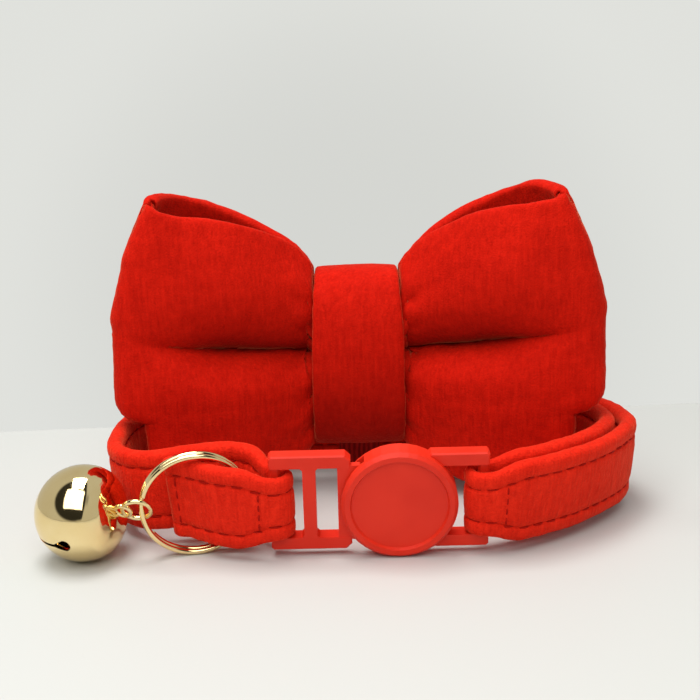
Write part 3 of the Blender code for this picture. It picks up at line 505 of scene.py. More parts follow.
def strap_mesh():
    rings = []
    for s in ribbon.s:
        width, thickness = ribbon.sizes(s)
        to_end = min(s, ribbon.length - s)
        if to_end < END_ROUNDING:
            share = 1.0 - to_end / END_ROUNDING
            thickness *= math.sqrt(1.0 - 0.85 * share * share)
            width -= END_NARROWING * share * share
        width += EDGE_WANDER * wander(s, 0.4, WANDER_WAVE)
        rings.append([ribbon.place(s, out, up) for out, up in cloth_section(width, thickness)])
    points = [point for ring in rings for point in ring]
    return mesh_piece("velvet_strap", points, tube_faces(len(rings), len(rings[0])))


def soften(piece, coarse, fine):
    """Gives cloth the slight unevenness of padding and pile, along its own normals."""
    mesh = piece.data
    normals = [vertex.normal.copy() for vertex in mesh.vertices]
    for vertex, normal in zip(mesh.vertices, normals):
        padding = noise.noise(vertex.co / PADDING_WAVE)
        tufts = noise.noise(vertex.co / TUFT_WAVE)
        vertex.co += normal * (coarse * padding + fine * tufts)


def velvet_group():
    """Short dense pile: clumps that lie different ways, and a fine grain. A mask paints shade on it."""
    group = bpy.data.node_groups.new("velvet_pile", "ShaderNodeTree")
    sockets = (
        ("Lit Pile", "INPUT", "Color"), ("Deep Pile", "INPUT", "Color"),
        ("Crush", "INPUT", "Float"), ("Grain Height", "INPUT", "Float"), ("Painted Shade", "INPUT", "Float"),
        ("Colour", "OUTPUT", "Color"), ("Rough", "OUTPUT", "Float"), ("Normal", "OUTPUT", "Vector"),
    )
    for name, way, kind in sockets:
        group.interface.new_socket(name, in_out=way, socket_type="NodeSocket" + kind)
    nodes, links = group.nodes, group.links
    given = nodes.new("NodeGroupInput")
    result = nodes.new("NodeGroupOutput")
    place = piece_place(group)
    lay = noise_layer(group, place, 160.0, 2.0, 0.55)
    clump = noise_layer(group, place, 900.0, 3.0, 0.55)
    grain = noise_layer(group, place, 4200.0, 2.0, 0.55)
    stretch = nodes.new("ShaderNodeMapping")
    stretch.inputs["Scale"].default_value = (2600.0, 2600.0, 260.0)
    links.new(place, stretch.inputs["Vector"])
    ribs = noise_layer(group, stretch.outputs["Vector"], 1.0, 1.5)

    def weighed(*layers, start=0.0):
        """The sum of the layers, each taken by its weight."""
        total = None
        for value, weight in layers:
            step = nodes.new("ShaderNodeMath")
            step.operation = "MULTIPLY_ADD"
            step.inputs[1].default_value = weight
            step.inputs[2].default_value = start
            links.new(value, step.inputs[0])
            if total is not None:
                links.new(total, step.inputs[2])
            total = step.outputs["Value"]
        return total

    shade = weighed((lay, 0.24), (clump, 0.24), (ribs, 0.34), (grain, 0.18))
    crushed = nodes.new("ShaderNodeMath")
    crushed.operation = "MULTIPLY"
    links.new(ranged(group, shade, 0.0, 1.0, 0.36, 0.66), crushed.inputs[0])
    links.new(given.outputs["Crush"], crushed.inputs[1])
    pile_colour = two_colours(
        group, crushed.outputs["Value"], given.outputs["Lit Pile"], given.outputs["Deep Pile"]
    )
    # Painted shade: where the mask is set, the pile colour goes to near-black red, in pleat creases and low
    # on the knot.
    painted_shade_mix = two_colours(group, given.outputs["Painted Shade"], pile_colour, PAINTED_SHADE_RED)
    links.new(painted_shade_mix, result.inputs["Colour"])
    links.new(weighed((clump, 0.25), start=0.68), result.inputs["Rough"])
    bump = nodes.new("ShaderNodeBump")
    bump.inputs["Strength"].default_value = 0.9
    links.new(given.outputs["Grain Height"], bump.inputs["Distance"])
    links.new(weighed((grain, 0.45), (clump, 0.35), (ribs, 0.35)), bump.inputs["Height"])
    links.new(bump.outputs["Normal"], result.inputs["Normal"])
    return group


pile = velvet_group()


def velvet_material(name, lit, deep, height):
    material = bpy.data.materials.new(name)
    tree, shader = tree_and_shader(material)
    cloth = tree.nodes.new("ShaderNodeGroup")
    cloth.name = "velvet_pile"
    cloth.node_tree = pile
    cloth.inputs["Lit Pile"].default_value = (*lit, 1.0)
    cloth.inputs["Deep Pile"].default_value = (*deep, 1.0)
    cloth.inputs["Crush"].default_value = PILE_CRUSH
    cloth.inputs["Grain Height"].default_value = height
    tree.links.new(cloth.outputs["Colour"], shader.inputs["Base Color"])
    tree.links.new(cloth.outputs["Rough"], shader.inputs["Roughness"])
    tree.links.new(cloth.outputs["Normal"], shader.inputs["Normal"])
    shader.inputs["Specular IOR Level"].default_value = 0.05
    shader.inputs["Sheen Weight"].default_value = 0.50
    shader.inputs["Sheen Roughness"].default_value = 0.30
    shader.inputs["Sheen Tint"].default_value = (1.0, 0.20, 0.09, 1.0)
    return material


ribbon = Ribbon()
velvet_strap = strap_mesh()
soften(velvet_strap, 0.10 * MM, 0.07 * MM)
strap_velvet = velvet_material("strap_velvet", STRAP_LIT, STRAP_DEEP, 0.35 * MM)
velvet_strap.data.materials.append(strap_velvet)
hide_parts("strap")
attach(velvet_strap, "root")

# The strap's stitches

# Red sewing thread in a row along each edge of both faces, pulled down into the pile, with a
# cross row where the left end is sewn down, beside each bar and at the end of the inner layer.
STITCH_PITCH = 2.1 * MM
STITCH_LENGTH = 1.45 * MM
FIRST_STITCH = 1.2 * MM
LAST_STITCH = 1.5 * MM
THREAD = 0.26 * MM
THREAD_SIDES = 6
STITCH_ARCH = ((0.0, 0.35, -0.5), (0.12, 0.85, 0.1), (0.5, 1.0, 0.45), (0.88, 0.85, 0.1), (1.0, 0.35, -0.5))
CROSS_STITCHES = 4
THREAD_DARK = (0.24, 0.003, 0.001)
THREAD_LIT = (0.52, 0.010, 0.004)

stitch_vertices = []
stitch_faces = []


def add_stitch(s, end_s, up, end_up, level):
    """A short arch of thread between two places on the strap, thin at both ends."""
    start = ribbon.place(s, level, up)
    end = ribbon.place(end_s, level, end_up)
    above = ribbon.place((s + end_s) / 2.0, level + math.copysign(1.0 * MM, level), (up + end_up) / 2.0)
    lift = (above - (start + end) / 2.0).normalized()
    along = end - start
    across = along.cross(lift).normalized()
    base = len(stitch_vertices)
    for share, size, rise in STITCH_ARCH:
        centre = start + along * share + lift * (rise * THREAD / 2.0)
        for k in range(THREAD_SIDES):
            angle = 2.0 * math.pi * k / THREAD_SIDES
            reach = across * math.cos(angle) + lift * math.sin(angle)
            stitch_vertices.append(centre + reach * (THREAD / 2.0 * size))
    stitch_faces.extend(tube_faces(len(STITCH_ARCH), THREAD_SIDES, base))


def face_level(thickness):
    return thickness / 2.0 - GROOVE_DEPTH


s = FIRST_STITCH
while s < ribbon.length - LAST_STITCH:
    width, thickness = ribbon.sizes(s + STITCH_LENGTH / 2.0)
    for face in (1.0, -1.0):
        for row in (1.0, -1.0):
            up = row * (width / 2.0 - STITCH_INSET)
            add_stitch(s, s + STITCH_LENGTH, up, up, face * face_level(thickness))
    s += STITCH_PITCH
cross_rows = (
    (1.7 * MM, 1.0), (ribbon.folds[0] - 4.6 * MM, 1.0), (ribbon.folds[1] - 5.0 * MM, -1.0),
    (ribbon.folds[1] + 5.4 * MM, -1.0), (ribbon.length - 1.8 * MM, -1.0),
)
for s, face in cross_rows:
    width, thickness = ribbon.sizes(s)
    lowest = STITCH_INSET - width / 2.0
    pitch = -2.0 * lowest / CROSS_STITCHES
    for k in range(CROSS_STITCHES):
        up = lowest + (k + 0.15) * pitch
        add_stitch(s, s, up, up + 0.7 * pitch, face * (face_level(thickness) + THREAD))
strap_stitches = mesh_piece("strap_stitches", stitch_vertices, stitch_faces)


def two_tones(tree, value, dark, lit, low=0.0, high=1.0):
    """A colour that goes from the dark tone to the lit one as the value goes from low to high."""
    ramp = tree.nodes.new("ShaderNodeValToRGB")
    for stop, colour, position in zip(ramp.color_ramp.elements, (dark, lit), (low, high)):
        stop.position = position
        stop.color = (*colour, 1.0)
    tree.links.new(value, ramp.inputs["Fac"])
    return ramp.outputs["Color"]


thread_red = bpy.data.materials.new("sewing_thread_red")
tree, shader = tree_and_shader(thread_red)
strands = noise_layer(tree, piece_place(tree), 5200.0)
tree.links.new(two_tones(tree, strands, THREAD_DARK, THREAD_LIT), shader.inputs["Base Color"])
shader.inputs["Roughness"].default_value = 0.8
shader.inputs["Specular IOR Level"].default_value = 0.08
strap_stitches.data.materials.append(thread_red)
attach(strap_stitches, "root")

# The breakaway buckle

# Two halves of injection moulded orange-red plastic: a slotted frame with a tongue, and a round
# disc that it snaps into. The plastic is slightly cloudy and takes a soft shine along its edges.
PLASTIC_DEEP = (0.68, 0.022, 0.007)
PLASTIC_PALE = (0.75, 0.030, 0.011)


def plastic_material():
    material = bpy.data.materials.new("moulded_red_plastic")
    tree, shader = tree_and_shader(material)
    place = piece_place(tree)
    flow = noise_layer(tree, place, 140.0)
    grain = noise_layer(tree, place, 3800.0)
    cloudy = two_tones(tree, flow, PLASTIC_DEEP, PLASTIC_PALE, 0.35, 0.7)
    bump = tree.nodes.new("ShaderNodeBump")
    bump.inputs["Strength"].default_value = 0.25
    bump.inputs["Distance"].default_value = 0.03 * MM
    tree.links.new(grain, bump.inputs["Height"])
    tree.links.new(cloudy, shader.inputs["Base Color"])
    tree.links.new(ranged(tree, flow, 0.36, 0.50), shader.inputs["Roughness"])
    tree.links.new(bump.outputs["Normal"], shader.inputs["Normal"])
    shader.inputs["Specular IOR Level"].default_value = 0.22
    shader.inputs["Subsurface Weight"].default_value = 0.12
    shader.inputs["Subsurface Radius"].default_value = (0.9 * MM, 0.25 * MM, 0.15 * MM)
    shader.inputs["Subsurface Scale"].default_value = 1.0
    return material


plastic = plastic_material()
for name in ("buckle_plug", "buckle_socket"):
    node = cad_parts[name]
    node.data.materials.clear()
    node.data.materials.append(plastic)

# The split ring

# Two turns of round wire, 14 mm across and gold plated, with the strap's turned end through them.
# It is wound as one coil that steps over to its second turn, and leans as the strap's front does.
RING_DIAMETER = 14.0 * MM
RING_WIRE = 0.70 * MM
RING_COIL_PITCH = 0.78 * MM
RING_STEP = math.radians(50.0)
RING_END = math.radians(215.0)
RING_YAW = math.radians(12.0)
RING_POINTS = 300
GOLD_DEEP = (0.84, 0.64, 0.31)
GOLD_PALE = (0.91, 0.73, 0.40)


def gold_material():
    material = bpy.data.materials.new("bright_gold_plate")
    tree, shader = tree_and_shader(material)
    cloud = noise_layer(tree, piece_place(tree), 260.0, 4.0)
    tree.links.new(two_tones(tree, cloud, GOLD_DEEP, GOLD_PALE, 0.3, 0.75), shader.inputs["Base Color"])
    tree.links.new(ranged(tree, cloud, 0.04, 0.11), shader.inputs["Roughness"])
    shader.inputs["Metallic"].default_value = 1.0
    return material


def only(piece):
    """Leaves this object alone selected and active."""
    bpy.ops.object.select_all(action="DESELECT")
    piece.select_set(True)
    bpy.context.view_layer.objects.active = piece


def bent_wire(name, points, thickness, closed):
    """Round wire along the points, as a mesh with closed ends."""
    curve = bpy.data.curves.new(name, "CURVE")
    curve.dimensions = "3D"
    curve.bevel_depth = thickness / 2.0
    curve.bevel_resolution = 3
    curve.use_fill_caps = not closed
    line = curve.splines.new("POLY")
    line.points.add(len(points) - 1)
    for spot, point in zip(line.points, points):
        spot.co = (*point, 1.0)
    line.use_cyclic_u = closed
    piece = bpy.data.objects.new(name, curve)
    bpy.context.scene.collection.objects.link(piece)
    only(piece)
    bpy.ops.object.convert(target="MESH")
    bpy.ops.object.shade_smooth_by_angle(angle=math.radians(50.0))
    return bpy.context.view_layer.objects.active


def box_centre(node):
    low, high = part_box(node)
    return (Vector(low) + Vector(high)) / 2.0


gold = gold_material()
upright = Vector((0.0, 0.0, 1.0))
ring_lean = math.radians(FRONT_LEAN)
ring_across = Vector((math.cos(RING_YAW), math.sin(RING_YAW), 0.0))
facing = ring_across.cross(upright).normalized()
ring_up = (upright * math.cos(ring_lean) + facing * math.sin(ring_lean)).normalized()
ring_axis = ring_across.cross(ring_up).normalized()
ring_centre = box_centre("split_ring")
flat_turn = 2.0 * math.pi - RING_STEP
coil = []
for turned in np.linspace(0.0, 2.0 * flat_turn + RING_STEP, RING_POINTS):
    angle = RING_END + turned
    rise = RING_COIL_PITCH * (ease(turned, flat_turn, flat_turn + RING_STEP) - 0.5)
    spoke = ring_across * math.cos(angle) + ring_up * math.sin(angle)
    coil.append(ring_centre + spoke * (RING_DIAMETER - RING_WIRE) / 2.0 + ring_axis * rise)
gold_split_ring = bent_wire("gold_split_ring", coil, RING_WIRE, False)
gold_split_ring.data.materials.append(gold)
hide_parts("split_ring")
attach(gold_split_ring, "root")

# The jump ring

# A small ring of thinner gold-plated wire, closed round the split ring and the bell's loop. It
# lies slanted between the two.
JUMP_DIAMETER = 4.1 * MM
JUMP_WIRE = 0.62 * MM
JUMP_TILT = math.radians(35.0)


def circle_points(centre, across, up, radius, count):
    points = []
    for angle in np.linspace(0.0, 2.0 * math.pi, count, endpoint=False):
        points.append(centre + (across * math.cos(angle) + up * math.sin(angle)) * radius)
    return points


jump_up = Vector((0.0, -math.sin(JUMP_TILT), math.cos(JUMP_TILT)))
jump_radius = (JUMP_DIAMETER - JUMP_WIRE) / 2.0
circle = circle_points(box_centre("jump_ring"), Vector((1.0, 0.0, 0.0)), jump_up, jump_radius, 72)
gold_jump_ring = bent_wire("gold_jump_ring", circle, JUMP_WIRE, True)
gold_jump_ring.data.materials.append(gold)
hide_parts("jump_ring")
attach(gold_jump_ring, "root")

# The jingle bell

# A hollow ball pressed from thin sheet, with a slit between two drop-shaped holes, a flattened
# shoulder, and a wire loop let into it. A loose pellet rings inside.
BELL_RADIUS = 6.05 * MM
BELL_WALL = 0.5 * MM
BELL_OFF_TABLE = 0.02 * MM
BELL_AXIS = (0.93, -0.3, 0.135)
SLIT_TOWARD = (-0.24, -0.90, -0.37)
SLIT_WIDTH = 0.42 * MM
HOLE_RADIUS = 0.82 * MM
DROP_LENGTH = 0.9
DROP_NARROWING = 0.35
CUT_REACH = 2.4 * BELL_RADIUS
BAIL_RADIUS = 0.95 * MM
BAIL_WIRE = 0.6 * MM
BAIL_REACH = 5.55 * MM
SHOULDER_LATITUDES = (22.0, 34.0, 44.0, 54.0, 66.0, 90.0)
SHOULDER_WIDTHS = (0.927, 0.86, 0.74, 0.60, 0.40, 0.0)
SHOULDER_HEIGHTS = (0.375, 0.50, 0.61, 0.69, 0.75, 0.79)


def cut_from(piece, cutter):
    only(piece)
    cut = piece.modifiers.new("cut", "BOOLEAN")
    cut.operation = "DIFFERENCE"
    cut.solver = "EXACT"
    cut.object = cutter
    bpy.ops.object.modifier_apply(modifier="cut")
    bpy.data.objects.remove(cutter)


bpy.ops.object.select_all(action="DESELECT")
bpy.ops.mesh.primitive_uv_sphere_add(segments=96, ring_count=72, radius=BELL_RADIUS)
jingle_bell = bpy.context.view_layer.objects.active
jingle_bell.name = "jingle_bell"
jingle_bell.data.name = "jingle_bell"
for vertex in jingle_bell.data.vertices:
    latitude = math.degrees(math.asin(max(min(vertex.co.z / BELL_RADIUS, 1.0), -1.0)))
    if latitude > SHOULDER_LATITUDES[0]:
        flat = math.hypot(vertex.co.x, vertex.co.y)
        wide = np.interp(latitude, SHOULDER_LATITUDES, SHOULDER_WIDTHS)
        high = np.interp(latitude, SHOULDER_LATITUDES, SHOULDER_HEIGHTS)
        scale = wide * BELL_RADIUS / flat if flat > 1e-7 else 1.0
        vertex.co = (vertex.co.x * scale, vertex.co.y * scale, high * BELL_RADIUS)
only(jingle_bell)
wall = jingle_bell.modifiers.new("wall", "SOLIDIFY")
wall.thickness = BELL_WALL
wall.offset = -1.0
bpy.ops.object.modifier_apply(modifier="wall")
bpy.ops.mesh.primitive_cube_add(size=1.0, location=(0.0, 0.0, -CUT_REACH / 4.0))
slit = bpy.context.view_layer.objects.active
slit.scale = (CUT_REACH, SLIT_WIDTH, CUT_REACH / 2.0)
bpy.ops.object.transform_apply(location=True, rotation=True, scale=True)
cut_from(jingle_bell, slit)
sideways = (0.0, math.pi / 2.0, 0.0)
bpy.ops.mesh.primitive_cylinder_add(vertices=40, radius=HOLE_RADIUS, depth=CUT_REACH, rotation=sideways)
hole = bpy.context.view_layer.objects.active
bpy.ops.object.transform_apply(location=True, rotation=True, scale=True)
for vertex in hole.data.vertices:
    if vertex.co.z < 0.0:
        down = -vertex.co.z / HOLE_RADIUS
        vertex.co.z *= 1.0 + DROP_LENGTH * down
        vertex.co.y *= 1.0 - DROP_NARROWING * down
cut_from(jingle_bell, hole)
only(jingle_bell)
bpy.ops.object.shade_smooth_by_angle(angle=math.radians(35.0))
bell_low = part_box("bell")[0]
bell_place = (bell_low[0] + BELL_RADIUS, bell_low[1] + BELL_RADIUS, BELL_RADIUS + BELL_OFF_TABLE)
bell_centre = Vector(bell_place)
bell_axis = Vector(BELL_AXIS).normalized()
slit_side = Vector(SLIT_TOWARD)
slit_side = (slit_side - bell_axis * slit_side.dot(bell_axis)).normalized()
turn = Matrix((slit_side, bell_axis.cross(slit_side), bell_axis)).transposed().to_4x4()
jingle_bell.data.transform(Matrix.Translation(bell_centre) @ turn)
bail_up = (jump_up - bell_axis * jump_up.dot(bell_axis)).normalized()
bail_centre = bell_centre + bell_axis * BAIL_REACH
circle = circle_points(bail_centre, bell_axis, bail_up, BAIL_RADIUS, 64)
bell_bail = bent_wire("bell_bail", circle, BAIL_WIRE, True)
for piece in (jingle_bell, bell_bail):
    piece.data.materials.clear()
    piece.data.materials.append(gold)
    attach(piece, "root")
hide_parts("bell")
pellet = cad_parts["bell_pellet"]
pellet.data.materials.clear()
pellet.data.materials.append(gold)

# The bow's loop

# A wide tube of double velvet, pinched at its middle by the knot. Each wing has one long pleat
# between two soft lobes, is folded over at its tip, and stands open along its top and bottom.
BOW_CENTRE = (-0.45 * MM, 30.3 * MM)
RIGHT_HALF_WIDTH = 33.2 * MM
LEFT_HALF_WIDTH = 32.9 * MM
BOW_HEIGHT = 44.2 * MM
BOW_WALL = 1.8 * MM
BOW_LIP = 0.6 * MM
BOW_ROWS = 81
WAIST_Z = 19.6 * MM
WAIST_HEIGHT = 15.4 * MM
WAIST_DEPTH = 2.35 * MM
FULL_DEPTH = 5.0 * MM
FULLEST = 0.52
KNOT_SHARE = 0.19
FRONT_DROP = 2.3 * MM
TIP_FORWARD = 9.3 * MM
SWEEP_POWER = 1.35
LOBE_PUFF = 1.5 * MM
CREASE_LOW = 0.505
CREASE_CLIMB = 0.10
CREASE_POWER = 2.2
PLEAT_DEPTH = 5.2 * MM
PLEAT_LIMIT = 0.86
BACK_PLEAT = 0.35
FURROWS_ABOVE = ((0.70, 0.030), (0.34, 0.11))
FURROWS_BELOW = ((0.60, 0.030), (0.44, 0.09))
GATHER_DEPTH = 0.30 * MM
GATHER_PLACE = 0.22
GATHER_SPREAD = 0.07
BLUR_RUN = (0.27, 0.45)
DROP_RUN = (0.30, 0.95)
FRONT_TURN = (-0.55, 0.70)
WIDEN_RUN = (0.2, FULLEST)
GROW_RUN = (0.10, 0.26)
PLEAT_FADE_RUN = (0.50, 0.94)
PUFF_FADE_RUN = (0.55, 0.97)
SHADE_FADE_RUN = (0.45, 0.90)
SHADE_ABOVE = 0.062
SHADE_BELOW = 0.007
# The mask of painted shade, beside the pleats' creases and low on the knot.
PAINTED_SHADE_MASK = "painted_shade"
# The bow's colours are painted darker than the strap's: painted shade, as the bow stands back from the
# light and the table's bounce.
BOW_LIT = (0.64, 0.011, 0.003)
BOW_DEEP = (0.30, 0.002, 0.0005)
TOP_RIGHT = (
    (0.0, 0.0), (0.198, 0.10), (0.212, 0.34), (0.26, 0.455), (0.32, 0.56), (0.48, 0.75),
    (0.68, 0.915), (0.84, 1.0), (1.0, 1.0),
)
TOP_LEFT = (
    (0.0, 0.0), (0.198, 0.10), (0.212, 0.34), (0.26, 0.45), (0.32, 0.545), (0.48, 0.71),
    (0.68, 0.86), (0.84, 0.945), (1.0, 1.0),
)
BOTTOM = (
    (0.0, 0.0), (0.200, 0.05), (0.215, 0.36), (0.26, 0.54), (0.32, 0.64), (0.48, 0.80),
    (0.68, 0.93), (0.84, 1.0), (1.0, 1.0),
)
TIP_WIDTH = (
    (0.0, 0.80), (0.08, 0.85), (0.306, 0.868), (0.322, 0.955), (0.36, 0.978), (0.62, 0.985),
    (0.80, 0.915), (1.0, 0.80),
)
TIP_SHARES = (0.9995, 0.996, 0.988, 0.974, 0.955, 0.93)
WAIST_SHARES = (0.28, 0.262, 0.248, 0.238, 0.229, 0.222, 0.215, 0.208, 0.19, 0.12, 0.05)
LIP_TURNS = (30.0, 60.0, 90.0, 120.0, 150.0)


def table_value(x, table, blur):
    """A table read smoothly: its straight runs are blended where they meet."""
    places, values = zip(*table)
    spots = x + blur * np.array([-1.0, -0.5, 0.0, 0.5, 1.0])
    return float(np.dot(np.interp(spots, places, values), [0.1, 0.2, 0.4, 0.2, 0.1]))


def crease_height(share):
    """Where the pleat lies between the wing's bottom and top edges: it climbs towards the tip."""
    return CREASE_LOW + CREASE_CLIMB * share**CREASE_POWER


def wing_edges(angle):
    """The bottom and top of the cloth there. The front of the wing is lower than its back."""
    share = abs(math.cos(angle))
    top = TOP_RIGHT if math.cos(angle) > 0.0 else TOP_LEFT
    blur = 0.004 + 0.046 * ease(share, *BLUR_RUN)
    waist_top = WAIST_Z + WAIST_HEIGHT / 2.0
    waist_bottom = WAIST_Z - WAIST_HEIGHT / 2.0
    high = waist_top + (BOW_HEIGHT - BOW_LIP - waist_top) * table_value(share, top, blur)
    low = waist_bottom + (BOW_LIP - waist_bottom) * table_value(share, BOTTOM, blur)
    high -= FRONT_DROP * ease(share, *DROP_RUN) * ease(-math.sin(angle), *FRONT_TURN)
    return low, high


def wing_depth(share, v):
    """How far the cloth stands from the wing's middle, its puffed swell, and its pleat's depth."""
    if share < FULLEST:
        depth = WAIST_DEPTH + (FULL_DEPTH - WAIST_DEPTH) * ease(share, *WIDEN_RUN)
    else:
        past = (share - FULLEST) / (1.0 - FULLEST)
        depth = FULL_DEPTH * math.sqrt(max(1.0 - past**2, 0.0))
    grow = ease(share, *GROW_RUN)
    fade = 1.0 - 0.96 * ease(share, *PLEAT_FADE_RUN)
    crease = crease_height(share)
    offset = v - crease
    if offset > 0.0:
        furrows = FURROWS_ABOVE
        lobe = (offset / (1.0 - crease)) ** 0.9
    else:
        furrows = FURROWS_BELOW
        lobe = (-offset / crease) ** 0.6
    lobe = min(max(lobe, 0.0), 1.0)
    valley = sum(deep * math.exp(-((offset / wide) ** 2)) for deep, wide in furrows)
    puff = LOBE_PUFF * math.sin(math.pi * lobe) * grow * (1.0 - ease(share, *PUFF_FADE_RUN))
    edges = 0.28 * (abs(v - 0.5) * 2.0) ** 5
    pleat = PLEAT_DEPTH * ((0.3 + 0.7 * grow) * fade * valley + edges * grow * (1.0 - 0.5 * share))
    ripple = math.sin(v * 37.0 + 1.3 * math.sin(v * 9.0))
    gather = GATHER_DEPTH * ripple * math.exp(-(((share - GATHER_PLACE) / GATHER_SPREAD) ** 2)) * grow
    return depth, puff + gather, pleat


def bow_point(angle, v):
    """A place in the cloth: the angle goes round the bow, seen from above, and v goes up it."""
    cosine = math.cos(angle)
    front = math.sin(angle) < 0.0
    share = abs(cosine)
    low, high = wing_edges(angle)
    z = low + (high - low) * v
    narrow = 1.0 - share * share * (1.0 - table_value(z / BOW_HEIGHT, TIP_WIDTH, 0.007))
    half_width = RIGHT_HALF_WIDTH if cosine > 0.0 else LEFT_HALF_WIDTH
    x = BOW_CENTRE[0] + cosine * half_width * narrow
    past_knot = max(share - KNOT_SHARE, 0.0) / (1.0 - KNOT_SHARE)
    middle = BOW_CENTRE[1] - TIP_FORWARD * past_knot**SWEEP_POWER
    depth, puff, pleat = wing_depth(share, v)
    if not front:
        pleat *= BACK_PLEAT
    depth += puff - min(pleat, depth * PLEAT_LIMIT)
    y = middle - depth if front else middle + depth
    return Vector((x + PART_TO_FRAME[0], y + PART_TO_FRAME[1], z))


def painted_crease_shade(offset, fade):
    """How much painted shade darkens the cloth beside the crease of a pleat."""
    reach = SHADE_ABOVE if offset > 0.0 else SHADE_BELOW
    return min(1.35 * math.exp(-abs(offset) / reach), 0.99) * fade


def lip(centre, normal, beyond):
    """The rounded edge of the cloth, from one of its faces to the other."""
    angles = [math.radians(turn) for turn in LIP_TURNS]
    return [centre + normal * math.cos(a) + beyond * (BOW_LIP * math.sin(a)) for a in angles]


def bow_mesh():
    """The bow's cloth, and how much painted shade lies at each of its points."""
    shares = [*TIP_SHARES, *np.linspace(0.905, 0.30, 22), *WAIST_SHARES]
    spread = [math.acos(share) for share in shares]
    back = spread + [math.pi - angle for angle in reversed(spread)]
    step = 0.003
    points = []
    # The painted shade beside the pleat's crease, one value for each point; the lips get none.
    folds = []
    angles = back + [math.pi + angle for angle in back]
    for angle in angles:
        share = abs(math.cos(angle))
        fade = 1.0 - ease(share, *SHADE_FADE_RUN)
        outer, inner, middle, shades = [], [], [], []
        for v in (k / (BOW_ROWS - 1.0) for k in range(BOW_ROWS)):
            place = bow_point(angle, v)
            along = bow_point(angle + step, v) - bow_point(angle - step, v)
            up = bow_point(angle, min(v + step, 1.0)) - bow_point(angle, max(v - step, 0.0))
            normal = along.cross(up).normalized()
            outer.append(place + normal * (BOW_WALL / 2.0))
            inner.append(place - normal * (BOW_WALL / 2.0))
            middle.append(place)
            shades.append(painted_crease_shade(v - crease_height(share), fade))
        up_end = (middle[-1] - middle[-2]).normalized()
        down_end = (middle[0] - middle[1]).normalized()
        top_lip = lip(middle[-1], (outer[-1] - inner[-1]) / 2.0, up_end)
        bottom_lip = lip(middle[0], (inner[0] - outer[0]) / 2.0, down_end)
        points += outer + top_lip + inner[::-1] + bottom_lip
        unshaded_lip = [0.0] * len(LIP_TURNS)
        folds += shades + unshaded_lip + shades[::-1] + unshaded_lip
    lowest = Vector((0.0, 0.0, min(point.z for point in points)))
    faces = tube_faces(len(angles), len(points) // len(angles), closed=True)
    return mesh_piece("velvet_bow", [point - lowest for point in points], faces), folds


velvet_bow, bow_painted_shade = bow_mesh()
soften(velvet_bow, 0.34 * MM, 0.10 * MM)
# Painted shade: the mask darkens the bow's velvet beside each pleat's crease.
mask = velvet_bow.data.attributes.new(PAINTED_SHADE_MASK, "FLOAT", "POINT")
mask.data.foreach_set("value", bow_painted_shade)
bow_velvet = velvet_material("bow_velvet", BOW_LIT, BOW_DEEP, 0.25 * MM)
tree = bow_velvet.node_tree
painted_shade_attribute = tree.nodes.new("ShaderNodeAttribute")
painted_shade_attribute.attribute_name = PAINTED_SHADE_MASK
tree.links.new(painted_shade_attribute.outputs["Fac"], tree.nodes["velvet_pile"].inputs["Painted Shade"])
velvet_bow.data.materials.append(bow_velvet)
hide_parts("bow_loop")
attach(velvet_bow, "root")

# The bow's knot

# A band of the same velvet wrapped round the middle of the bow and sewn at its back. It bulges a
# little between its edges and is narrower over the top.
KNOT_WIDTH = 12.9 * MM
KNOT_HEIGHT = 25.8 * MM
KNOT_HALF_LINE = (5.5 * MM, 11.6 * MM)
KNOT_BLUNTNESS = 2.6
KNOT_WALL = 2.0 * MM
KNOT_CROWN = 0.3 * MM
KNOT_NARROWING = 0.1
BAND_EDGE = ((0.975, 0.40), (0.998, 0.2), (0.998, -0.2), (0.975, -0.40))


def band(name, centre, half_line, power, width, wall, stations, crown=0.0, narrowing=0.0):
    """A closed soft band round the X axis, with rounded edges. It may narrow over its top."""
    half_depth, half_height = half_line
    angles = np.linspace(0.0, 2.0 * math.pi, stations, endpoint=False)
    y, z = blunt_circle(angles, power)
    path = np.column_stack([y * half_depth, z * half_height])
    step = np.linalg.norm(np.diff(path, axis=0), axis=1).sum() / stations
    line = even_steps(np.vstack([path, path[:1]]), step)[:-1]
    around = np.roll(line, -1, axis=0) - np.roll(line, 1, axis=0)
    around /= np.linalg.norm(around, axis=1)[:, None]
    sides = np.column_stack([around[:, 1], -around[:, 0]])
    shape = [(across, 0.5, crown * (1.0 - across**2)) for across in np.linspace(-0.93, 0.93, 15)]
    shape += [(across, share, 0.0) for across, share in BAND_EDGE]
    shape += [(across, -0.5, 0.0) for across in np.linspace(0.93, -0.93, 7)]
    shape += [(-across, share, 0.0) for across, share in reversed(BAND_EDGE)]
    points = []
    for (y, z), (side_y, side_z) in zip(line, sides):
        half_width = width * (1.0 - narrowing * max(z / half_height, 0.0) ** 2) / 2.0
        for across, share, rise in shape:
            out = share * wall + rise
            offset = Vector((across * half_width, y + side_y * out, z + side_z * out))
            points.append(Vector(centre) + offset)
    return mesh_piece(name, points, tube_faces(len(line), len(shape), closed=True))


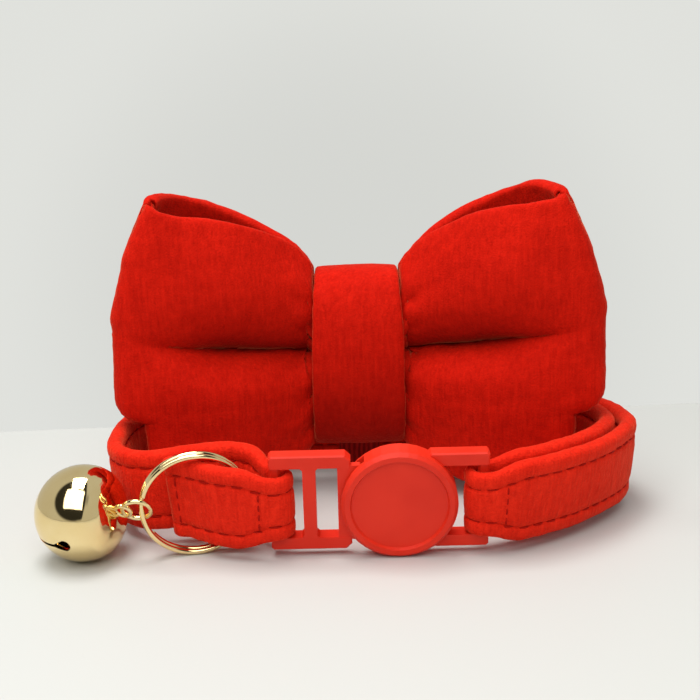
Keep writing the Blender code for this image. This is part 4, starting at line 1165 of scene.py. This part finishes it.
knot_centre = (BOW_CENTRE[0] + PART_TO_FRAME[0], BOW_CENTRE[1] + PART_TO_FRAME[1], WAIST_Z)
velvet_knot = band(
    "velvet_knot", knot_centre, KNOT_HALF_LINE, KNOT_BLUNTNESS, KNOT_WIDTH, KNOT_WALL, 110,
    crown=KNOT_CROWN, narrowing=KNOT_NARROWING,
)
soften(velvet_knot, 0.20 * MM, 0.08 * MM)
velvet_knot.data.materials.append(bow_velvet)
# Painted shade: the knot's colour darkens towards its bottom, where less light falls.
knot_painted_shade = velvet_knot.data.attributes.new(PAINTED_SHADE_MASK, "FLOAT", "POINT")
depths = [(WAIST_Z - vertex.co.z) / KNOT_HEIGHT for vertex in velvet_knot.data.vertices]
knot_painted_shade.data.foreach_set("value", [0.46 * ease(depth, -0.10, 0.46) for depth in depths])
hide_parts("bow_knot")
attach(velvet_knot, "root")

# The elastic band

# A flat knitted elastic sewn to the back of the knot, with ribs that run along it. It goes round
# the strap's back and holds the bow there.
ELASTIC_WIDTH = 6.0 * MM
ELASTIC_WALL = 0.8 * MM
ELASTIC_BLUNTNESS = 6.0
ELASTIC_DARK = (0.25, 0.006, 0.005)
ELASTIC_LIT = (0.50, 0.018, 0.014)

elastic_low, elastic_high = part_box("bow_elastic")
elastic_half = [(high - low - ELASTIC_WALL) / 2.0 for low, high in zip(elastic_low, elastic_high)]
elastic_band = band(
    "elastic_band", box_centre("bow_elastic"), elastic_half[1:], ELASTIC_BLUNTNESS,
    ELASTIC_WIDTH, ELASTIC_WALL, 90,
)
elastic_red = bpy.data.materials.new("knitted_elastic")
tree, shader = tree_and_shader(elastic_red)
ribs = tree.nodes.new("ShaderNodeTexWave")
ribs.inputs["Scale"].default_value = 420.0
ribs.inputs["Distortion"].default_value = 1.2
bump = tree.nodes.new("ShaderNodeBump")
bump.inputs["Distance"].default_value = 0.15 * MM
tree.links.new(piece_place(tree), ribs.inputs["Vector"])
tree.links.new(ribs.outputs["Fac"], bump.inputs["Height"])
knit = two_tones(tree, ribs.outputs["Fac"], ELASTIC_DARK, ELASTIC_LIT)
tree.links.new(knit, shader.inputs["Base Color"])
tree.links.new(bump.outputs["Normal"], shader.inputs["Normal"])
shader.inputs["Roughness"].default_value = 0.85
shader.inputs["Specular IOR Level"].default_value = 0.08
elastic_band.data.materials.append(elastic_red)
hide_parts("bow_elastic")
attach(elastic_band, "root")
